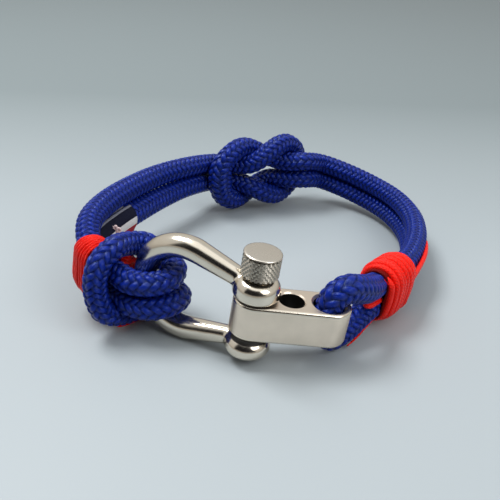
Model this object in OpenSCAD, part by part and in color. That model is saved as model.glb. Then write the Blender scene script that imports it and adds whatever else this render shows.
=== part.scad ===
// Nautical rope bracelet. Two doubled ropes meet in a reef knot at the back.
// One is cow-hitched to a bow shackle, the other runs through the end hole of
// an adjuster bar, and a screw pin joins the shackle to the bar.
// Millimetres. The clasp is drawn with its pin upright at the origin, the bar
// along +X and the wrist behind it at +Y. The whole bracelet then takes the
// lean that it has when it lies on a flat surface.

/* [Rope] */
// diameter of the round braided rope
rope_d = 5.0; // [4.6:0.1:5.0]
// free space between two strands that lie side by side
strand_gap = 0.2; // [0.15:0.05:0.3]
// how far the reef knot sits behind the pin
knot_back = 65.0; // [60:1:74]

/* [Twine] */
// depth of the twine winding on the shackle's side
left_wind_t = 1.2; // [1.0:0.1:1.4]
// depth of the twine winding on the bar's side
right_wind_t = 1.6; // [1.1:0.1:1.7]
// diameter of the twine's free end
twine_d = 1.3; // [1.0:0.1:1.4]

/* [Label] */
// wall of the folded ribbon
label_wall = 1.0; // [0.8:0.1:1.2]

/* [Shackle] */
// diameter of the bow's wire at its crown
wire_d = 4.0; // [3.6:0.1:4.0]
// centre-line radius of the crown
crown_r = 9.0; // [8.8:0.1:9.1]
// distance from the pin to the crown's centre
crown_out = 13.6; // [13.4:0.1:13.8]
// outside diameter of each eye
eye_d = 8.4; // [7.8:0.1:8.8]
// thickness of each eye along the pin
eye_t = 4.0; // [3.6:0.1:4.1]

/* [Pin] */
// diameter of the pin's shank
pin_d = 4.0; // [3.8:0.1:4.1]
// diameter of the round head
head_d = 6.7; // [6.2:0.1:7.2]
// height of the round head
head_h = 4.8; // [4.2:0.1:5.4]

/* [Bar] */
// length of the adjuster bar over its round ends
bar_l = 22.0; // [21.8:0.1:22.2]
// width of the bar
bar_w = 8.0; // [7.6:0.1:8.2]
// height of the bar along the pin
bar_h = 7.4; // [7.2:0.1:7.5]
// diameter of the spare hole
spare_d = 4.4; // [4.2:0.1:4.6]
// distance from the pin hole to the spare hole
spare_x = 6.8; // [6.6:0.1:7.0]
// diameter of the end hole that the rope runs through
rope_hole_d = 5.8; // [5.6:0.1:5.9]

/* [Hidden] */
rope_r = rope_d / 2;
wire_r = wire_d / 2;
// strands in a pair lie this far above and below the bracelet's middle
strand_z = rope_r + strand_gap / 2;
// running clearance of the pin in the eyes, on the radius
pin_play = 0.05;
// clearance of the pin in the bar, on the radius
bar_play = 0.3;
// free space between an eye and the bar
eye_gap = 0.1;
eye_z = bar_h / 2 + eye_gap + eye_t / 2;
// radius of the ball that rounds an eye's rims
eye_ball_r = eye_d / 2 + 0.15;
// radius of an arm where it meets its eye
neck_r = 1.6;
// an arm runs this far into the crown, this much thinner than it
arm_sink = 0.3;
arm_inset = 0.02;
// the bow's plane is turned this far towards the wrist
bow_turn = 27;
pin_end_z = -(eye_z + eye_t / 2 - 0.15);
head_z = eye_z + eye_t / 2 + 0.25;
// the arm is cut back for the head by this much more than its diameter
head_room = 0.8;
collar_r = 2.7;
collar_drop = 0.2;
head_chamfer = 0.25;
pin_chamfer = 0.3;
head_under_chamfer = 0.6;
bar_round = 0.5;
hole_chamfer = 0.25;
rope_hole_chamfer = 0.45;
bar_far_x = bar_l - bar_w;
rope_hole_x = bar_far_x - 0.3;
rope_sides = 12;

// lean of the bracelet at rest, and its shift onto the row's origin
lean_x = -0.153;
lean_y = 5.497;
rest_shift = [-3.952, -34.28, 9.841];

// the hitch's frame: a runs outward from the crown, b towards the viewer,
// and it is rolled about b and dropped below the bow's middle
hitch_roll = 8.6;
hitch_drop = -1.2;
// the hitch's upper half, from the bight's middle to the ring, and its lower
// half, whose z is a depth: a, b, z, fullness of the rope, step along it
hitch_over = [
    [5.85, 8.15, 0, 0.95, 1.8],
    [5.75, 8.0, 2.5, 0.95, 1.8],
    [5.3, 6.75, 5.3, 0.93, 1.8],
    [4.4, 3.6, 6.85, 0.9, 1.8],
    [3.5, 0.6, 6.6, 0.9, 1.8],
    [2.7, -2.3, 6.0, 0.92, 1.8],
    [0.8, -4.6, 5.0, 0.95, 1.8],
    [-2.4, -4.9, 3.5, 0.95, 1.8],
    [-5.0, -2.6, 2.6, 0.95, 1.8],
    [-5.45, 0.8, 2.5, 0.95, 1.8],
    [-3.3, 3.9, 2.5, 0.95, 1.8],
    [0.2, 4.65, 2.45, 0.97, 1.8],
    [3.8, 3.5, 2.15, 0.94, 1.8],
    [6.1, 2.9, 2.15, 0.94, 1.8]];
hitch_under = [
    [5.85, 8.15, 0, 0.95, 1.8],
    [5.4, 8.1, 2.6, 0.95, 1.8],
    [4.7, 7.15, 5.9, 0.9, 1.8],
    [3.6, 4.1, 7.4, 0.9, 1.8],
    [2.8, 1.0, 7.4, 0.9, 1.8],
    [2.0, -1.8, 7.0, 0.92, 1.8],
    [0.5, -4.6, 5.8, 0.95, 1.8],
    [-2.8, -5.0, 3.9, 0.95, 1.8],
    [-5.8, -2.8, 2.7, 0.97, 1.8],
    [-6.2, 0.8, 2.55, 0.97, 1.8],
    [-3.7, 3.9, 2.5, 0.97, 1.8],
    [0.2, 4.65, 2.5, 0.95, 1.8],
    [3.8, 3.5, 2.6, 0.92, 1.8],
    [6.1, 2.9, 2.65, 0.92, 1.8]];

// the ring between the hitch and the knot, at the middle of the two strands:
// x, y, z, step
left_run = [
    [-28.9, 12.0, -2.2, 2.2],
    [-30.5, 14.0, -1.9, 2.2],
    [-31.7, 16.4, -1.5, 3.2],
    [-32.7, 20.6, -0.8, 5],
    [-32.5, 25.0, -0.2, 5],
    [-30.4, 31.8, 0, 5],
    [-26.4, 40.2, 0, 5],
    [-20.2, 50.2, 0.1, 5],
    [-13.6, 57.4, 0.4, 4]];
// the loop through the bar's end hole, over the bar and under it, whose z is
// a depth: x, y, z, fullness, step
loop_over = [
    [13.7, 0, 0, 0.97, 1.6],
    [13.7, 0, 2.6, 1.03, 1.6],
    [14.4, 0.1, 5.1, 1.08, 1.6],
    [16.5, 0.9, 6.55, 1.08, 1.6],
    [19.3, 2.8, 6.1, 1.06, 1.6],
    [22.0, 5.6, 4.4, 1.0, 1.6]];
loop_under = [
    [13.7, 0, 0, 0.97, 1.6],
    [13.75, 0.1, 2.4, 0.93, 1.6],
    [14.5, 0.7, 4.6, 0.86, 1.6],
    [16.6, 2.1, 6.0, 0.85, 1.6],
    [19.2, 4.0, 5.2, 0.9, 1.6],
    [22.0, 6.9, 3.8, 0.96, 1.6]];
// the ring between the loop and the knot: x, y, z, step
right_run = [
    [24.6, 9.6, 0.1, 2.2],
    [27.0, 12.4, 0, 2.2],
    [29.8, 15.6, 0, 2.2],
    [32.5, 18.8, 0, 3.2],
    [35.4, 22.9, 0, 4],
    [38.3, 28.6, 0, 5],
    [40.8, 36.0, 0, 5],
    [42.0, 45.0, 0, 5],
    [40.4, 54.0, 0, 5],
    [35.6, 62.2, 0, 5],
    [28.6, 67.2, 0.8, 5],
    [22.4, 68.7, 1.7, 4]];
// both runs stretch backwards from here with the knot
run_fixed_y = 22;
run_fixed_back = 65;

// the knot's frame: s along the ring, n towards the inside of the ring
knot_mid = [5.3, 0, 0.9];
knot_turn = 13.5;
knot_roll = 8.5;
// one half of a rope in the knot, the other rope's is the same turned about:
// s, z, n, fullness, step
knot = [
    [-11.7, 2.6, -2.7, 0.97, 2],
    [-8.6, 2.5, -1.9, 0.95, 2],
    [-5.7, 2.5, -0.15, 0.95, 2],
    [-2.9, 3.2, 1.78, 0.95, 2],
    [0, 4.95, 2.5, 0.95, 2],
    [2.9, 6.7, 1.78, 0.95, 2],
    [5.7, 7.4, 0.15, 0.95, 2],
    [8.6, 6.5, -1.7, 0.95, 2],
    [10.9, 4.2, -2.6, 0.95, 2],
    [11.7, 0, -2.8, 0.95, 2]];

// rows of each run that the windings cover
left_wind_rows = [0, 1, 2];
right_wind_rows = [0, 1, 2, 3];
wind_step = 2.0;
wind_sides = 28;
// free space between a winding and the ropes inside it
wind_clear = 0.1;

// the ribbon is folded round the lower strand between these distances behind
// the pin, with its tips this angle off straight up, and hangs below it
label_from_y = 22;
label_to_y = 39.8;
label_step = 2.0;
label_open = 32;
label_clear = 0.15;
// down to this angle it lies on the strand
label_lie = 118;
label_arc_points = 7;
// its sewn lower edge is this far below the strand's centre, and this far
// towards the wrist
label_drop = 4.9;
label_hang = 1.7;

// the twine's free end beside the upper strand: x, y, z, share of its diameter
tail = [
    [33.4, 14.2, 1.6, 1],
    [35.4, 17.0, 1.8, 1],
    [37.2, 19.8, 2.2, 1],
    [39.1, 23.0, 2.6, 0.95],
    [40.8, 26.6, 2.9, 0.8],
    [42.2, 30.6, 2.9, 0.5],
    [43.2, 34.0, 2.8, 0.4]];
tail_step = 1.5;
tail_sides = 8;

$fn = 64;

function unit(v) = v / norm(v);
function xyz(p) = [p[0], p[1], p[2]];
function between(p, q, s) = p + (q - p) * s;
function spacing(p, q) = sqrt(max(norm(xyz(q) - xyz(p)), 0.001));
function turn_z(p, a) =
    [p[0] * cos(a) - p[1] * sin(a), p[0] * sin(a) + p[1] * cos(a), p[2]];

// point at the share s of the way from p1 to p2 on a smooth curve
function curve_point(p0, p1, p2, p3, s) =
    let (t1 = spacing(p0, p1),
        t2 = t1 + spacing(p1, p2),
        t3 = t2 + spacing(p2, p3),
        t = t1 + (t2 - t1) * s,
        a1 = between(p0, p1, t / t1),
        a2 = between(p1, p2, s),
        a3 = between(p2, p3, (t - t2) / (t3 - t2)),
        b1 = between(a1, a2, t / t2),
        b2 = between(a2, a3, (t - t1) / (t3 - t1)))
    between(b1, b2, s);

function steps(p, q, step) = max(1, ceil(norm(xyz(q) - xyz(p)) / step));

// closed smooth curve: rows of x, y, z, fullness
function closed_curve(rows) =
    let (n = len(rows))
    [for (i = [0 : n - 1])
        let (p0 = rows[(i + n - 1) % n], p1 = rows[i],
            p2 = rows[(i + 1) % n], p3 = rows[(i + 2) % n],
            m = steps(p1, p2, min(p1[4], p2[4])))
        for (k = [0 : m - 1]) curve_point(p0, p1, p2, p3, k / m)];

// the open curve through the inner rows, whose first and last only aim it
function open_curve(rows, step) =
    let (n = len(rows))
    concat([for (i = [1 : n - 3])
        let (m = steps(rows[i], rows[i + 1], step))
        for (k = [0 : m - 1])
            curve_point(rows[i - 1], rows[i], rows[i + 1], rows[i + 2], k / m)],
        [rows[n - 2]]);

// the ring stretches backwards with the knot
function stretched(y) =
    y <= run_fixed_y ? y : run_fixed_y + (y - run_fixed_y)
        * (knot_back - run_fixed_y) / (run_fixed_back - run_fixed_y);

function hitch_point(row, side) =
    let (a = row[0], z = side * row[2],
        a2 = a * cos(hitch_roll) + z * sin(hitch_roll),
        z2 = z * cos(hitch_roll) - a * sin(hitch_roll),
        u = crown_out + crown_r + a2,
        p = turn_z([-u, -row[1], z2 + hitch_drop], -bow_turn))
    [p[0], p[1], p[2], row[3], row[4]];

function run_point(row, side) =
    [row[0], stretched(row[1]), row[2] + side * strand_z, 1, row[3]];

function loop_point(row, side) =
    [row[0], row[1], side * row[2], row[3], row[4]];

// hand is 1 for the shackle side's rope and -1 for the bar side's
function knot_point(row, side, hand) =
    let (s = hand * row[0], n = hand * row[2], z = side * row[1],
        s2 = s * cos(knot_roll) - z * sin(knot_roll),
        z2 = z * cos(knot_roll) + s * sin(knot_roll),
        p = turn_z([s2, -n, z2], knot_turn))
    [p[0] + knot_mid[0], p[1] + knot_back + knot_mid[1], p[2] + knot_mid[2],
        row[3], row[4]];

function shackle_half(side) = concat(
    [for (row = side > 0 ? hitch_over : hitch_under)
        hitch_point(row, side)],
    [for (row = left_run) run_point(row, side)],
    [for (row = knot) knot_point(row, side, 1)]);

function bar_half(side) = concat(
    [for (row = side > 0 ? loop_over : loop_under) loop_point(row, side)],
    [for (row = right_run) run_point(row, side)],
    [for (row = knot) knot_point(row, side, -1)]);

// upper half there, lower half back, without the two shared ends
function whole_loop(upper, lower) =
    concat(upper, [for (i = [len(lower) - 2 : -1 : 1]) lower[i]]);

function tangent(c, i, closed) =
    let (n = len(c),
        a = closed ? (i + n - 1) % n : max(i - 1, 0),
        b = closed ? (i + 1) % n : min(i + 1, n - 1))
    unit(xyz(c[b]) - xyz(c[a]));

function square_to(v, t) = unit(v - t * (v * t));

// a direction carried along the curve without twist, one for each row
function carried(c, closed, start) =
    let (n = len(c))
    [for (i = 0, v = square_to(start, tangent(c, 0, closed));
        i < n;
        i = i + 1, v = square_to(v, tangent(c, i % n, closed))) v];

// turn that is missing when the carried direction comes back round
function closing_turn(c, dirs) =
    let (t = tangent(c, 0, true), first = dirs[0],
        last = square_to(dirs[len(dirs) - 1], t))
    atan2(cross(first, last) * t, first * last);

function tube_ring(p, t, v, r, sides, turn) =
    let (w = cross(t, v))
    [for (k = [0 : sides - 1])
        let (a = 360 * k / sides + turn)
        xyz(p) + v * (r * cos(a)) + w * (r * sin(a))];

// rope of radius r along a closed curve
module closed_tube(c, r, sides) {
    n = len(c);
    dirs = carried(c, true, [0, 0, 1]);
    twist = closing_turn(c, dirs);
    rings = [for (i = [0 : n - 1])
        each tube_ring(c[i], tangent(c, i, true), dirs[i],
            r * c[i][3], sides, -twist * i / n)];
    faces = [for (i = [0 : n - 1], k = [0 : sides - 1])
        let (j = (i + 1) % n, m = (k + 1) % sides)
        each [[i * sides + k, j * sides + m, i * sides + m],
            [i * sides + k, j * sides + k, j * sides + m]]];
    polyhedron(points = rings, faces = faces);
}

// cross-sections of equal length joined into one solid; each is a list of
// points, and the caps are strips between its first and second halves
module loft(sections) {
    m = len(sections);
    n = len(sections[0]);
    sides = [for (i = [0 : m - 2], k = [0 : n - 1])
        let (q = (k + 1) % n)
        each [[i * n + k, (i + 1) * n + q, i * n + q],
            [i * n + k, (i + 1) * n + k, (i + 1) * n + q]]];
    last = (m - 1) * n;
    first_cap = [for (k = [0 : n / 2 - 2])
        each [[k, k + 1, n - 1 - k], [k + 1, n - 2 - k, n - 1 - k]]];
    last_cap = [for (f = first_cap) [last + f[0], last + f[2], last + f[1]]];
    polyhedron(points = [for (s = sections) each s],
        faces = concat(sides, first_cap, last_cap));
}

// sleeve between two lists of cross-sections, outer and inner
module sleeve(outer, inner) {
    m = len(outer);
    n = len(outer[0]);
    base = m * n;
    walls = [for (i = [0 : m - 2], k = [0 : n - 1])
        let (q = (k + 1) % n, a = i * n + k, b = i * n + q,
            c = (i + 1) * n + q, d = (i + 1) * n + k)
        each [[a, c, b], [a, d, c],
            [base + a, base + b, base + c], [base + a, base + c, base + d]]];
    last = (m - 1) * n;
    ends = [for (k = [0 : n - 1])
        let (q = (k + 1) % n)
        each [[k, q, base + k], [q, base + q, base + k],
            [last + k, last + base + q, last + q],
            [last + k, last + base + k, last + base + q]]];
    polyhedron(points = concat([for (s = outer) each s],
        [for (s = inner) each s]), faces = concat(walls, ends));
}

// upright cross-section round a pair of strands: half circles of radius r,
// one above and one below the middle
function pair_section(c, i, r, sides) =
    let (t = tangent(c, i, false), v = square_to([0, 0, 1], t),
        w = cross(t, v))
    [for (k = [0 : sides - 1])
        let (a = 360 * (k + 0.5) / sides,
            lift = cos(a) > 0 ? strand_z : -strand_z)
        xyz(c[i]) + v * (r * cos(a) + lift) + w * (r * sin(a))];

// winding round both strands over some rows of a run
module winding(run, rows, before, after, depth) {
    aims = concat([before], [for (i = rows) pair_middle(run[i])], [after]);
    c = open_curve(aims, wind_step);
    outer = [for (i = [0 : len(c) - 1])
        pair_section(c, i, rope_r + depth, wind_sides)];
    inner = [for (i = [0 : len(c) - 1])
        pair_section(c, i, rope_r + wind_clear, wind_sides)];
    sleeve(outer, inner);
}

function pair_middle(row) = [row[0], stretched(row[1]), row[2]];

// the two strands' middle where they come out of the hitch and of the loop
function last_row(rows) = rows[len(rows) - 1];
hitch_middle = (xyz(hitch_point(last_row(hitch_over), 1))
    + xyz(hitch_point(last_row(hitch_under), -1))) / 2;
loop_middle = (xyz(loop_point(last_row(loop_over), 1))
    + xyz(loop_point(last_row(loop_under), -1))) / 2;

// the folded ribbon across a strand, as one band of outer points and one of
// inner points that comes back
function fold_section(c, i, r_out, r_in) =
    let (t = tangent(c, i, false), v = square_to([0, 0, 1], t),
        w = cross(t, v), m = label_arc_points,
        arc = [for (k = [0 : m - 1])
            let (a = label_open + (label_lie - label_open) * k / (m - 1))
            [r_out * sin(a), r_out * cos(a)]],
        edge = [[label_hang + label_wall, -label_drop],
            [label_hang - label_wall, -label_drop]],
        back = [for (k = [m - 1 : -1 : 0]) [-arc[k][0], arc[k][1]]],
        outer = concat(arc, edge, back), n = len(outer),
        sweep = 360 - 2 * label_open,
        inner = [for (k = [n - 1 : -1 : 0])
            let (a = label_open + sweep * k / (n - 1))
            [r_in * sin(a), r_in * cos(a)]])
    [for (q = concat(outer, inner)) xyz(c[i]) + w * q[0] + v * q[1]];

module folded_ribbon() {
    lower = [for (row = left_run) pair_middle(row) - [0, 0, strand_z]];
    c = [for (p = open_curve(lower, label_step))
        if (p[1] > label_from_y && p[1] < label_to_y) p];
    r_in = rope_r + label_clear;
    loft([for (i = [0 : len(c) - 1])
        fold_section(c, i, r_in + label_wall, r_in)]);
}

module free_end() {
    c = open_curve(tail, tail_step);
    dirs = carried(c, false, [0, 0, 1]);
    loft([for (i = [0 : len(c) - 1])
        tube_ring(c[i], tangent(c, i, false), dirs[i],
            twine_d / 2 * c[i][3], tail_sides, 180 / tail_sides)]);
}

// where an arm meets the crown, as an angle round the crown's centre
arm_angle = atan2(eye_z, -crown_out)
    - acos(crown_r / norm([crown_out, eye_z]));
arm_end = [crown_out + crown_r * cos(arm_angle), crown_r * sin(arm_angle)];

module eye() {
    intersection() {
        cylinder(d = eye_d, h = eye_t, center = true);
        sphere(r = eye_ball_r);
    }
}

// an eye and the arm that leaves it, above the bow's middle
module eye_and_arm() {
    rise = arm_end[1] - eye_z;
    translate([0, 0, eye_z]) {
        eye();
        rotate([0, atan2(arm_end[0], rise), 0])
            cylinder(h = norm([arm_end[0], rise]) + arm_sink, r1 = neck_r,
                r2 = wire_r - arm_inset);
    }
}

module crown() {
    translate([crown_out, 0, 0])
        rotate([90, 0, 0])
            rotate([0, 0, -arm_angle])
                rotate_extrude(angle = 2 * arm_angle)
                    translate([crown_r, 0]) circle(r = wire_r);
}

module bow_shackle() {
    rotate([0, 0, 180 - bow_turn])
        difference() {
            union() {
                eye_and_arm();
                mirror([0, 0, 1]) eye_and_arm();
                crown();
            }
            cylinder(r = pin_d / 2 + pin_play, h = 4 * eye_z, center = true);
            translate([0, 0, eye_z + eye_t / 2])
                cylinder(d = head_d + head_room, h = head_h);
        }
}

module screw_pin() {
    pin_r = pin_d / 2;
    head_r = head_d / 2;
    top_z = head_z + head_h;
    rotate_extrude()
        polygon([
            [0, pin_end_z],
            [pin_r - pin_chamfer, pin_end_z],
            [pin_r, pin_end_z + pin_chamfer],
            [pin_r, head_z - collar_drop],
            [collar_r, head_z - collar_drop],
            [collar_r, head_z],
            [head_r - head_under_chamfer, head_z],
            [head_r, head_z + head_under_chamfer],
            [head_r, top_z - head_chamfer],
            [head_r - head_chamfer, top_z],
            [0, top_z]]);
}

// half of the bar's cross-section, with rounded outer corners
module bar_half_profile() {
    flat_w = bar_w / 2 - bar_round;
    flat_h = bar_h / 2 - bar_round;
    translate([0, -bar_h / 2]) square([flat_w, bar_h]);
    translate([0, -flat_h]) square([bar_w / 2, 2 * flat_h]);
    for (z = [-flat_h, flat_h]) translate([flat_w, z]) circle(r = bar_round);
}

module bar_body() {
    for (x = [0, bar_far_x])
        translate([x, 0, 0]) rotate_extrude() bar_half_profile();
    rotate([90, 0, 90])
        linear_extrude(height = bar_far_x) {
            bar_half_profile();
            mirror([1, 0]) bar_half_profile();
        }
}

// hole along the pin's direction with a chamfer at both faces
module bar_hole(x, r, chamfer) {
    half = bar_h / 2;
    translate([x, 0, 0]) {
        cylinder(r = r, h = 2 * bar_h, center = true);
        for (side = [0, 1])
            mirror([0, 0, side])
                translate([0, 0, half - chamfer])
                    cylinder(h = 2 * chamfer, r1 = r, r2 = r + 2 * chamfer);
    }
}

module adjuster_bar() {
    difference() {
        bar_body();
        bar_hole(0, pin_d / 2 + bar_play, hole_chamfer);
        bar_hole(spare_x, spare_d / 2, hole_chamfer);
        bar_hole(rope_hole_x, rope_hole_d / 2, rope_hole_chamfer);
    }
}

module at_rest() {
    translate(rest_shift) rotate([lean_x, lean_y, 0]) children();
}

color([0.78, 0.78, 0.76]) at_rest() bow_shackle();
color([0.74, 0.73, 0.7]) at_rest() screw_pin();
color([0.8, 0.79, 0.77]) at_rest() adjuster_bar();
color([0.1, 0.14, 0.5]) at_rest()  // cord_shackle_side
        closed_tube(closed_curve(whole_loop(shackle_half(1),
            shackle_half(-1))), rope_r, rope_sides);
color([0.1, 0.14, 0.5]) at_rest()  // cord_bar_side
        closed_tube(closed_curve(whole_loop(bar_half(1),
            bar_half(-1))), rope_r, rope_sides);
color([0.85, 0.12, 0.08]) at_rest()  // whipping_left
        winding(left_run, left_wind_rows, hitch_middle,
            pair_middle(left_run[3]), left_wind_t);
color([0.85, 0.12, 0.08]) at_rest()  // whipping_right
        winding(right_run, right_wind_rows, loop_middle,
            pair_middle(right_run[4]), right_wind_t);
color([0.85, 0.12, 0.08]) at_rest() free_end();  // twine_tail
color([0.85, 0.85, 0.85]) at_rest() folded_ribbon();  // flag_label
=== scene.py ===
"""Nautical rope bracelet: braided ropes, knot, twine whippings, ribbon, shackle, pin and bar.

Sizes are in millimetres in the clasp's frame: the pin stands upright at the origin, the
adjuster bar lies along +X and the wrist is at +Y. Each finished mesh is then laid down as
the bracelet rests, and brought to metres.
"""

import logging
import math
from collections.abc import Callable, Iterator
from contextlib import contextmanager
from dataclasses import dataclass, field, replace
from enum import Enum

import bpy
import numpy as np
from bpy.types import ID, Material, MeshVertex, Node, NodeSocket, NodeTree, Object
from mathutils import Matrix, Vector, noise

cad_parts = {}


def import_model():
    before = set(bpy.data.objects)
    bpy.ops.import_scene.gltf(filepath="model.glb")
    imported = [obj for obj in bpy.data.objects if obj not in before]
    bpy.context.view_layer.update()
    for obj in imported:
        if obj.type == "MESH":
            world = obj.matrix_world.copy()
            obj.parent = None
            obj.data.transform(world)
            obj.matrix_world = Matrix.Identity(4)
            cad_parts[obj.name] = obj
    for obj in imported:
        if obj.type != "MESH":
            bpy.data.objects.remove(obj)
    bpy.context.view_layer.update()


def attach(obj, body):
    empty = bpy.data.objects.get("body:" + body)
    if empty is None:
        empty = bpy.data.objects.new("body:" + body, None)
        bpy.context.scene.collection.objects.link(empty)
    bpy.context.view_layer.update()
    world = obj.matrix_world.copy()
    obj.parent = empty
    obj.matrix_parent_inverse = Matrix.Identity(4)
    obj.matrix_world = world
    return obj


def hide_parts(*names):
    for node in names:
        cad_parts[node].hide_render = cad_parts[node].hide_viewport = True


LOG = logging.getLogger("bracelet")
MM = 0.001

Row = tuple[float, ...]
Placer = Callable[[Row, int], Row]
Point = tuple[float, float, float]
Colour = tuple[float, float, float, float]
Part = tuple[np.ndarray, list[list[int]], np.ndarray]
Profile = tuple[tuple[float, float], ...]

# lean of the bracelet at rest, in degrees, and its shift onto the row's origin
LEAN_X = -0.153
LEAN_Y = 5.497
REST_SHIFT = (-3.952, -34.28, 9.841)

ROPE_D = 5.0
STRAND_GAP = 0.2
STRAND_Z = ROPE_D / 2 + STRAND_GAP / 2
RUN_Z = 2.42
RING_MID = (2.0, 33.0)
WIRE_R = 2.0
CROWN_R = 9.0
CROWN_OUT = 13.6
EYE_D = 8.4
EYE_T = 4.0
EYE_GAP = 0.1
BAR_H = 7.4
EYE_Z = BAR_H / 2 + EYE_GAP + EYE_T / 2
BOW_TURN = 27.0
HITCH_ROLL = 8.6
HITCH_DROP = -1.2
KNOT_MID = (5.3, 65.0, 1.15)
KNOT_TURN = 13.5
KNOT_ROLL = 8.5

# points on each stretch of a curve, rows that a whipping's frame is read from, and those of a cord's path
CURVE_STEPS = 24
FRAME_ROWS = 200
PATH_ROWS = 400
# turns between two changes in how tightly a twine is wound, and how fast these vary along and between twines
SLACK_STEP = 0.37
SLACK_RATES = (3.1, 7.0)
# pitch of a twine's strands per diameter
TWINE_PITCH = 0.42
# points closer than this are one, and rows of a curve count as at least this far apart
WELD = 0.0005
LEAST_GAP = 0.001
ORIGIN = (0.0, 0.0, 0.0)

# a runs outward from the crown, b towards the viewer: a, b, z, fullness of the rope
HITCH_OVER = [
    (5.85, 8.15, 0, 0.95), (5.75, 8.0, 2.5, 0.95), (5.3, 6.75, 5.3, 0.94), (4.6, 3.6, 6.85, 0.95),
    (4.7, 0.5, 6.4, 0.96), (4.4, -2.4, 5.5, 1.0), (2.6, -4.7, 4.6, 1.04), (-1.4, -5.3, 1.7, 1.02),
    (-4.9, -3.0, 1.5, 0.96), (-5.45, 0.8, 1.25, 0.96), (-3.3, 3.9, 1.3, 0.98), (0.2, 4.65, 1.4, 1.01),
    (3.8, 3.5, 1.8, 0.98), (6.1, 2.9, 2.15, 0.94),
]
HITCH_UNDER = [
    (5.85, 8.15, 0, 0.95), (5.5, 8.15, 2.4, 0.95), (4.9, 7.3, 5.0, 0.93), (3.8, 4.4, 6.7, 0.92),
    (2.8, 1.0, 7.4, 0.92), (2.0, -1.8, 7.2, 0.93), (0.5, -4.6, 6.4, 0.95), (-2.8, -5.2, 5.0, 0.95),
    (-5.8, -2.8, 4.0, 0.97), (-6.2, 0.8, 3.8, 0.97), (-3.7, 3.9, 3.75, 0.97), (0.2, 4.65, 3.7, 0.95),
    (3.8, 3.5, 3.2, 0.92), (6.1, 2.9, 2.65, 0.92),
]
# the middle of two strands: x, y, z, and where they differ from 0 and 1 the lean outward and the fullness
LEFT_RUN = [
    (-28.9, 12.0, -2.2), (-30.5, 14.0, -1.9), (-31.7, 16.4, -1.5), (-32.7, 20.6, -0.8, 5, 1.02),
    (-32.5, 25.0, -0.2, 14, 1.06), (-30.4, 31.8, 0, 26, 1.12), (-26.4, 40.2, 0, 30, 1.14),
    (-20.2, 50.2, 0.1, 28, 1.1), (-13.6, 57.4, 0.4, 14, 1.04),
]
RIGHT_RUN = [
    (24.6, 9.6, 0.1, 0, 1.07), (27.0, 12.4, 0), (29.8, 15.6, 0), (32.5, 18.8, 0), (35.4, 22.9, 0),
    (38.3, 28.6, 0), (40.8, 36.0, 0), (42.0, 45.0, 0), (40.4, 54.0, 0), (35.6, 62.2, 0),
    (28.6, 67.2, 0.8), (22.4, 68.7, 1.7),
]
# the loop through the bar's end hole, over the bar and under it: x, y, z, fullness
LOOP_OVER = [
    (13.7, 0, 0, 0.97), (13.7, 0, 2.6, 1.03), (14.4, 0.1, 5.1, 1.1), (16.5, 0.9, 6.5, 1.13),
    (19.2, 2.7, 5.7, 1.14), (22.0, 5.6, 4.2, 1.13),
]
LOOP_UNDER = [
    (13.7, 0, 0, 0.97), (13.75, 0.1, 2.4, 0.93), (14.5, 0.7, 4.4, 0.88), (16.6, 2.1, 5.8, 0.88),
    (18.9, 3.9, 4.95, 1.0), (22.0, 6.9, 3.6, 1.02),
]
# half of one rope in the knot, the other rope's is the same turned about:
# s along the ring, z, n towards the inside of the ring, fullness of the two ropes
KNOT = [
    (-11.7, 2.6, -2.7, 1.0, 1.0), (-8.6, 2.5, -1.9, 1.03, 1.03), (-5.7, 2.6, -0.15, 1.03, 1.03),
    (-2.9, 3.25, 1.78, 1.03, 1.03), (0, 4.9, 2.5, 1.05, 1.05), (2.9, 6.45, 1.78, 1.07, 1.05),
    (5.7, 7.1, 0.15, 1.05, 1.05), (8.6, 6.25, -1.7, 1.04, 1.1), (10.8, 4.05, -2.6, 1.04, 1.17),
    (11.6, 0, -2.8, 1.04, 1.25),
]
# loose twines: x, y, z, and where it isn't 1 the share of the diameter; first the free end
TAIL = [
    (30.6, 10.6, 1.0), (32.2, 12.8, 1.3), (33.6, 14.6, 1.6, 0.95), (35.3, 17.0, 1.8, 0.9),
    (37.0, 19.8, 2.2, 0.9), (38.8, 23.0, 2.6, 0.85), (40.4, 26.6, 2.9, 0.7), (41.7, 30.7, 2.9, 0.4),
    (42.4, 34.1, 2.8, 0.25),
]
# threads that stick out of the ribbon's sewn end
FRAY = [
    (-30.0, 28.6, -3.4), (-29.2, 28.1, -2.8), (-28.4, 27.8, -1.9), (-27.8, 27.8, -0.9), (-27.4, 28.0, -1.5),
    (-28.3, 27.6, -2.2), (-29.0, 27.7, -1.4), (-28.4, 27.9, -0.5), (-27.8, 27.8, -2.0), (-27.1, 28.0, -2.6),
    (-27.5, 28.6, -3.3),
]
# twine that comes out between the two strands and goes back under the right whipping
FRAPPING = [
    (24.0, 9.6, 0.6), (23.2, 8.4, 0.5), (22.5, 7.0, 0.5), (22.5, 6.1, 0.4), (23.4, 6.3, 0.3),
    (24.6, 7.5, 0.2), (26.2, 9.2, 0.1), (27.6, 10.8, 0),
]
# twine laid along the lower strand of the loop
LEAD_RIGHT = [
    (18.3, 1.05, -7.5, 0.5), (19.8, 2.1, -7.1, 0.6), (21.4, 3.5, -6.5), (23.7, 5.85, -5.3),
    (26.3, 8.6, -4.0), (28.6, 11.4, -3.4),
]
# twine that comes out of the left whipping towards the hitch's eye
FRAPPING_LEFT = [
    (-29.0, 12.4, -2.4), (-27.0, 12.2, -1.6), (-24.2, 12.6, -0.8), (-22.9, 13.6, -0.5), (-23.4, 15.4, -0.8),
    (-25.8, 17.2, -1.0), (-28.0, 17.8, -1.5), (-30.0, 17.6, -1.6),
]


class Slot(Enum):
    """Material slots that the pieces carry."""

    STEEL = "steel"
    ROPE = "rope"
    TWINE = "twine"
    RIBBON = "ribbon"


class Body(Enum):
    """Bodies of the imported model."""

    BRACELET = "bracelet"
    PIN = "pin"


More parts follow.
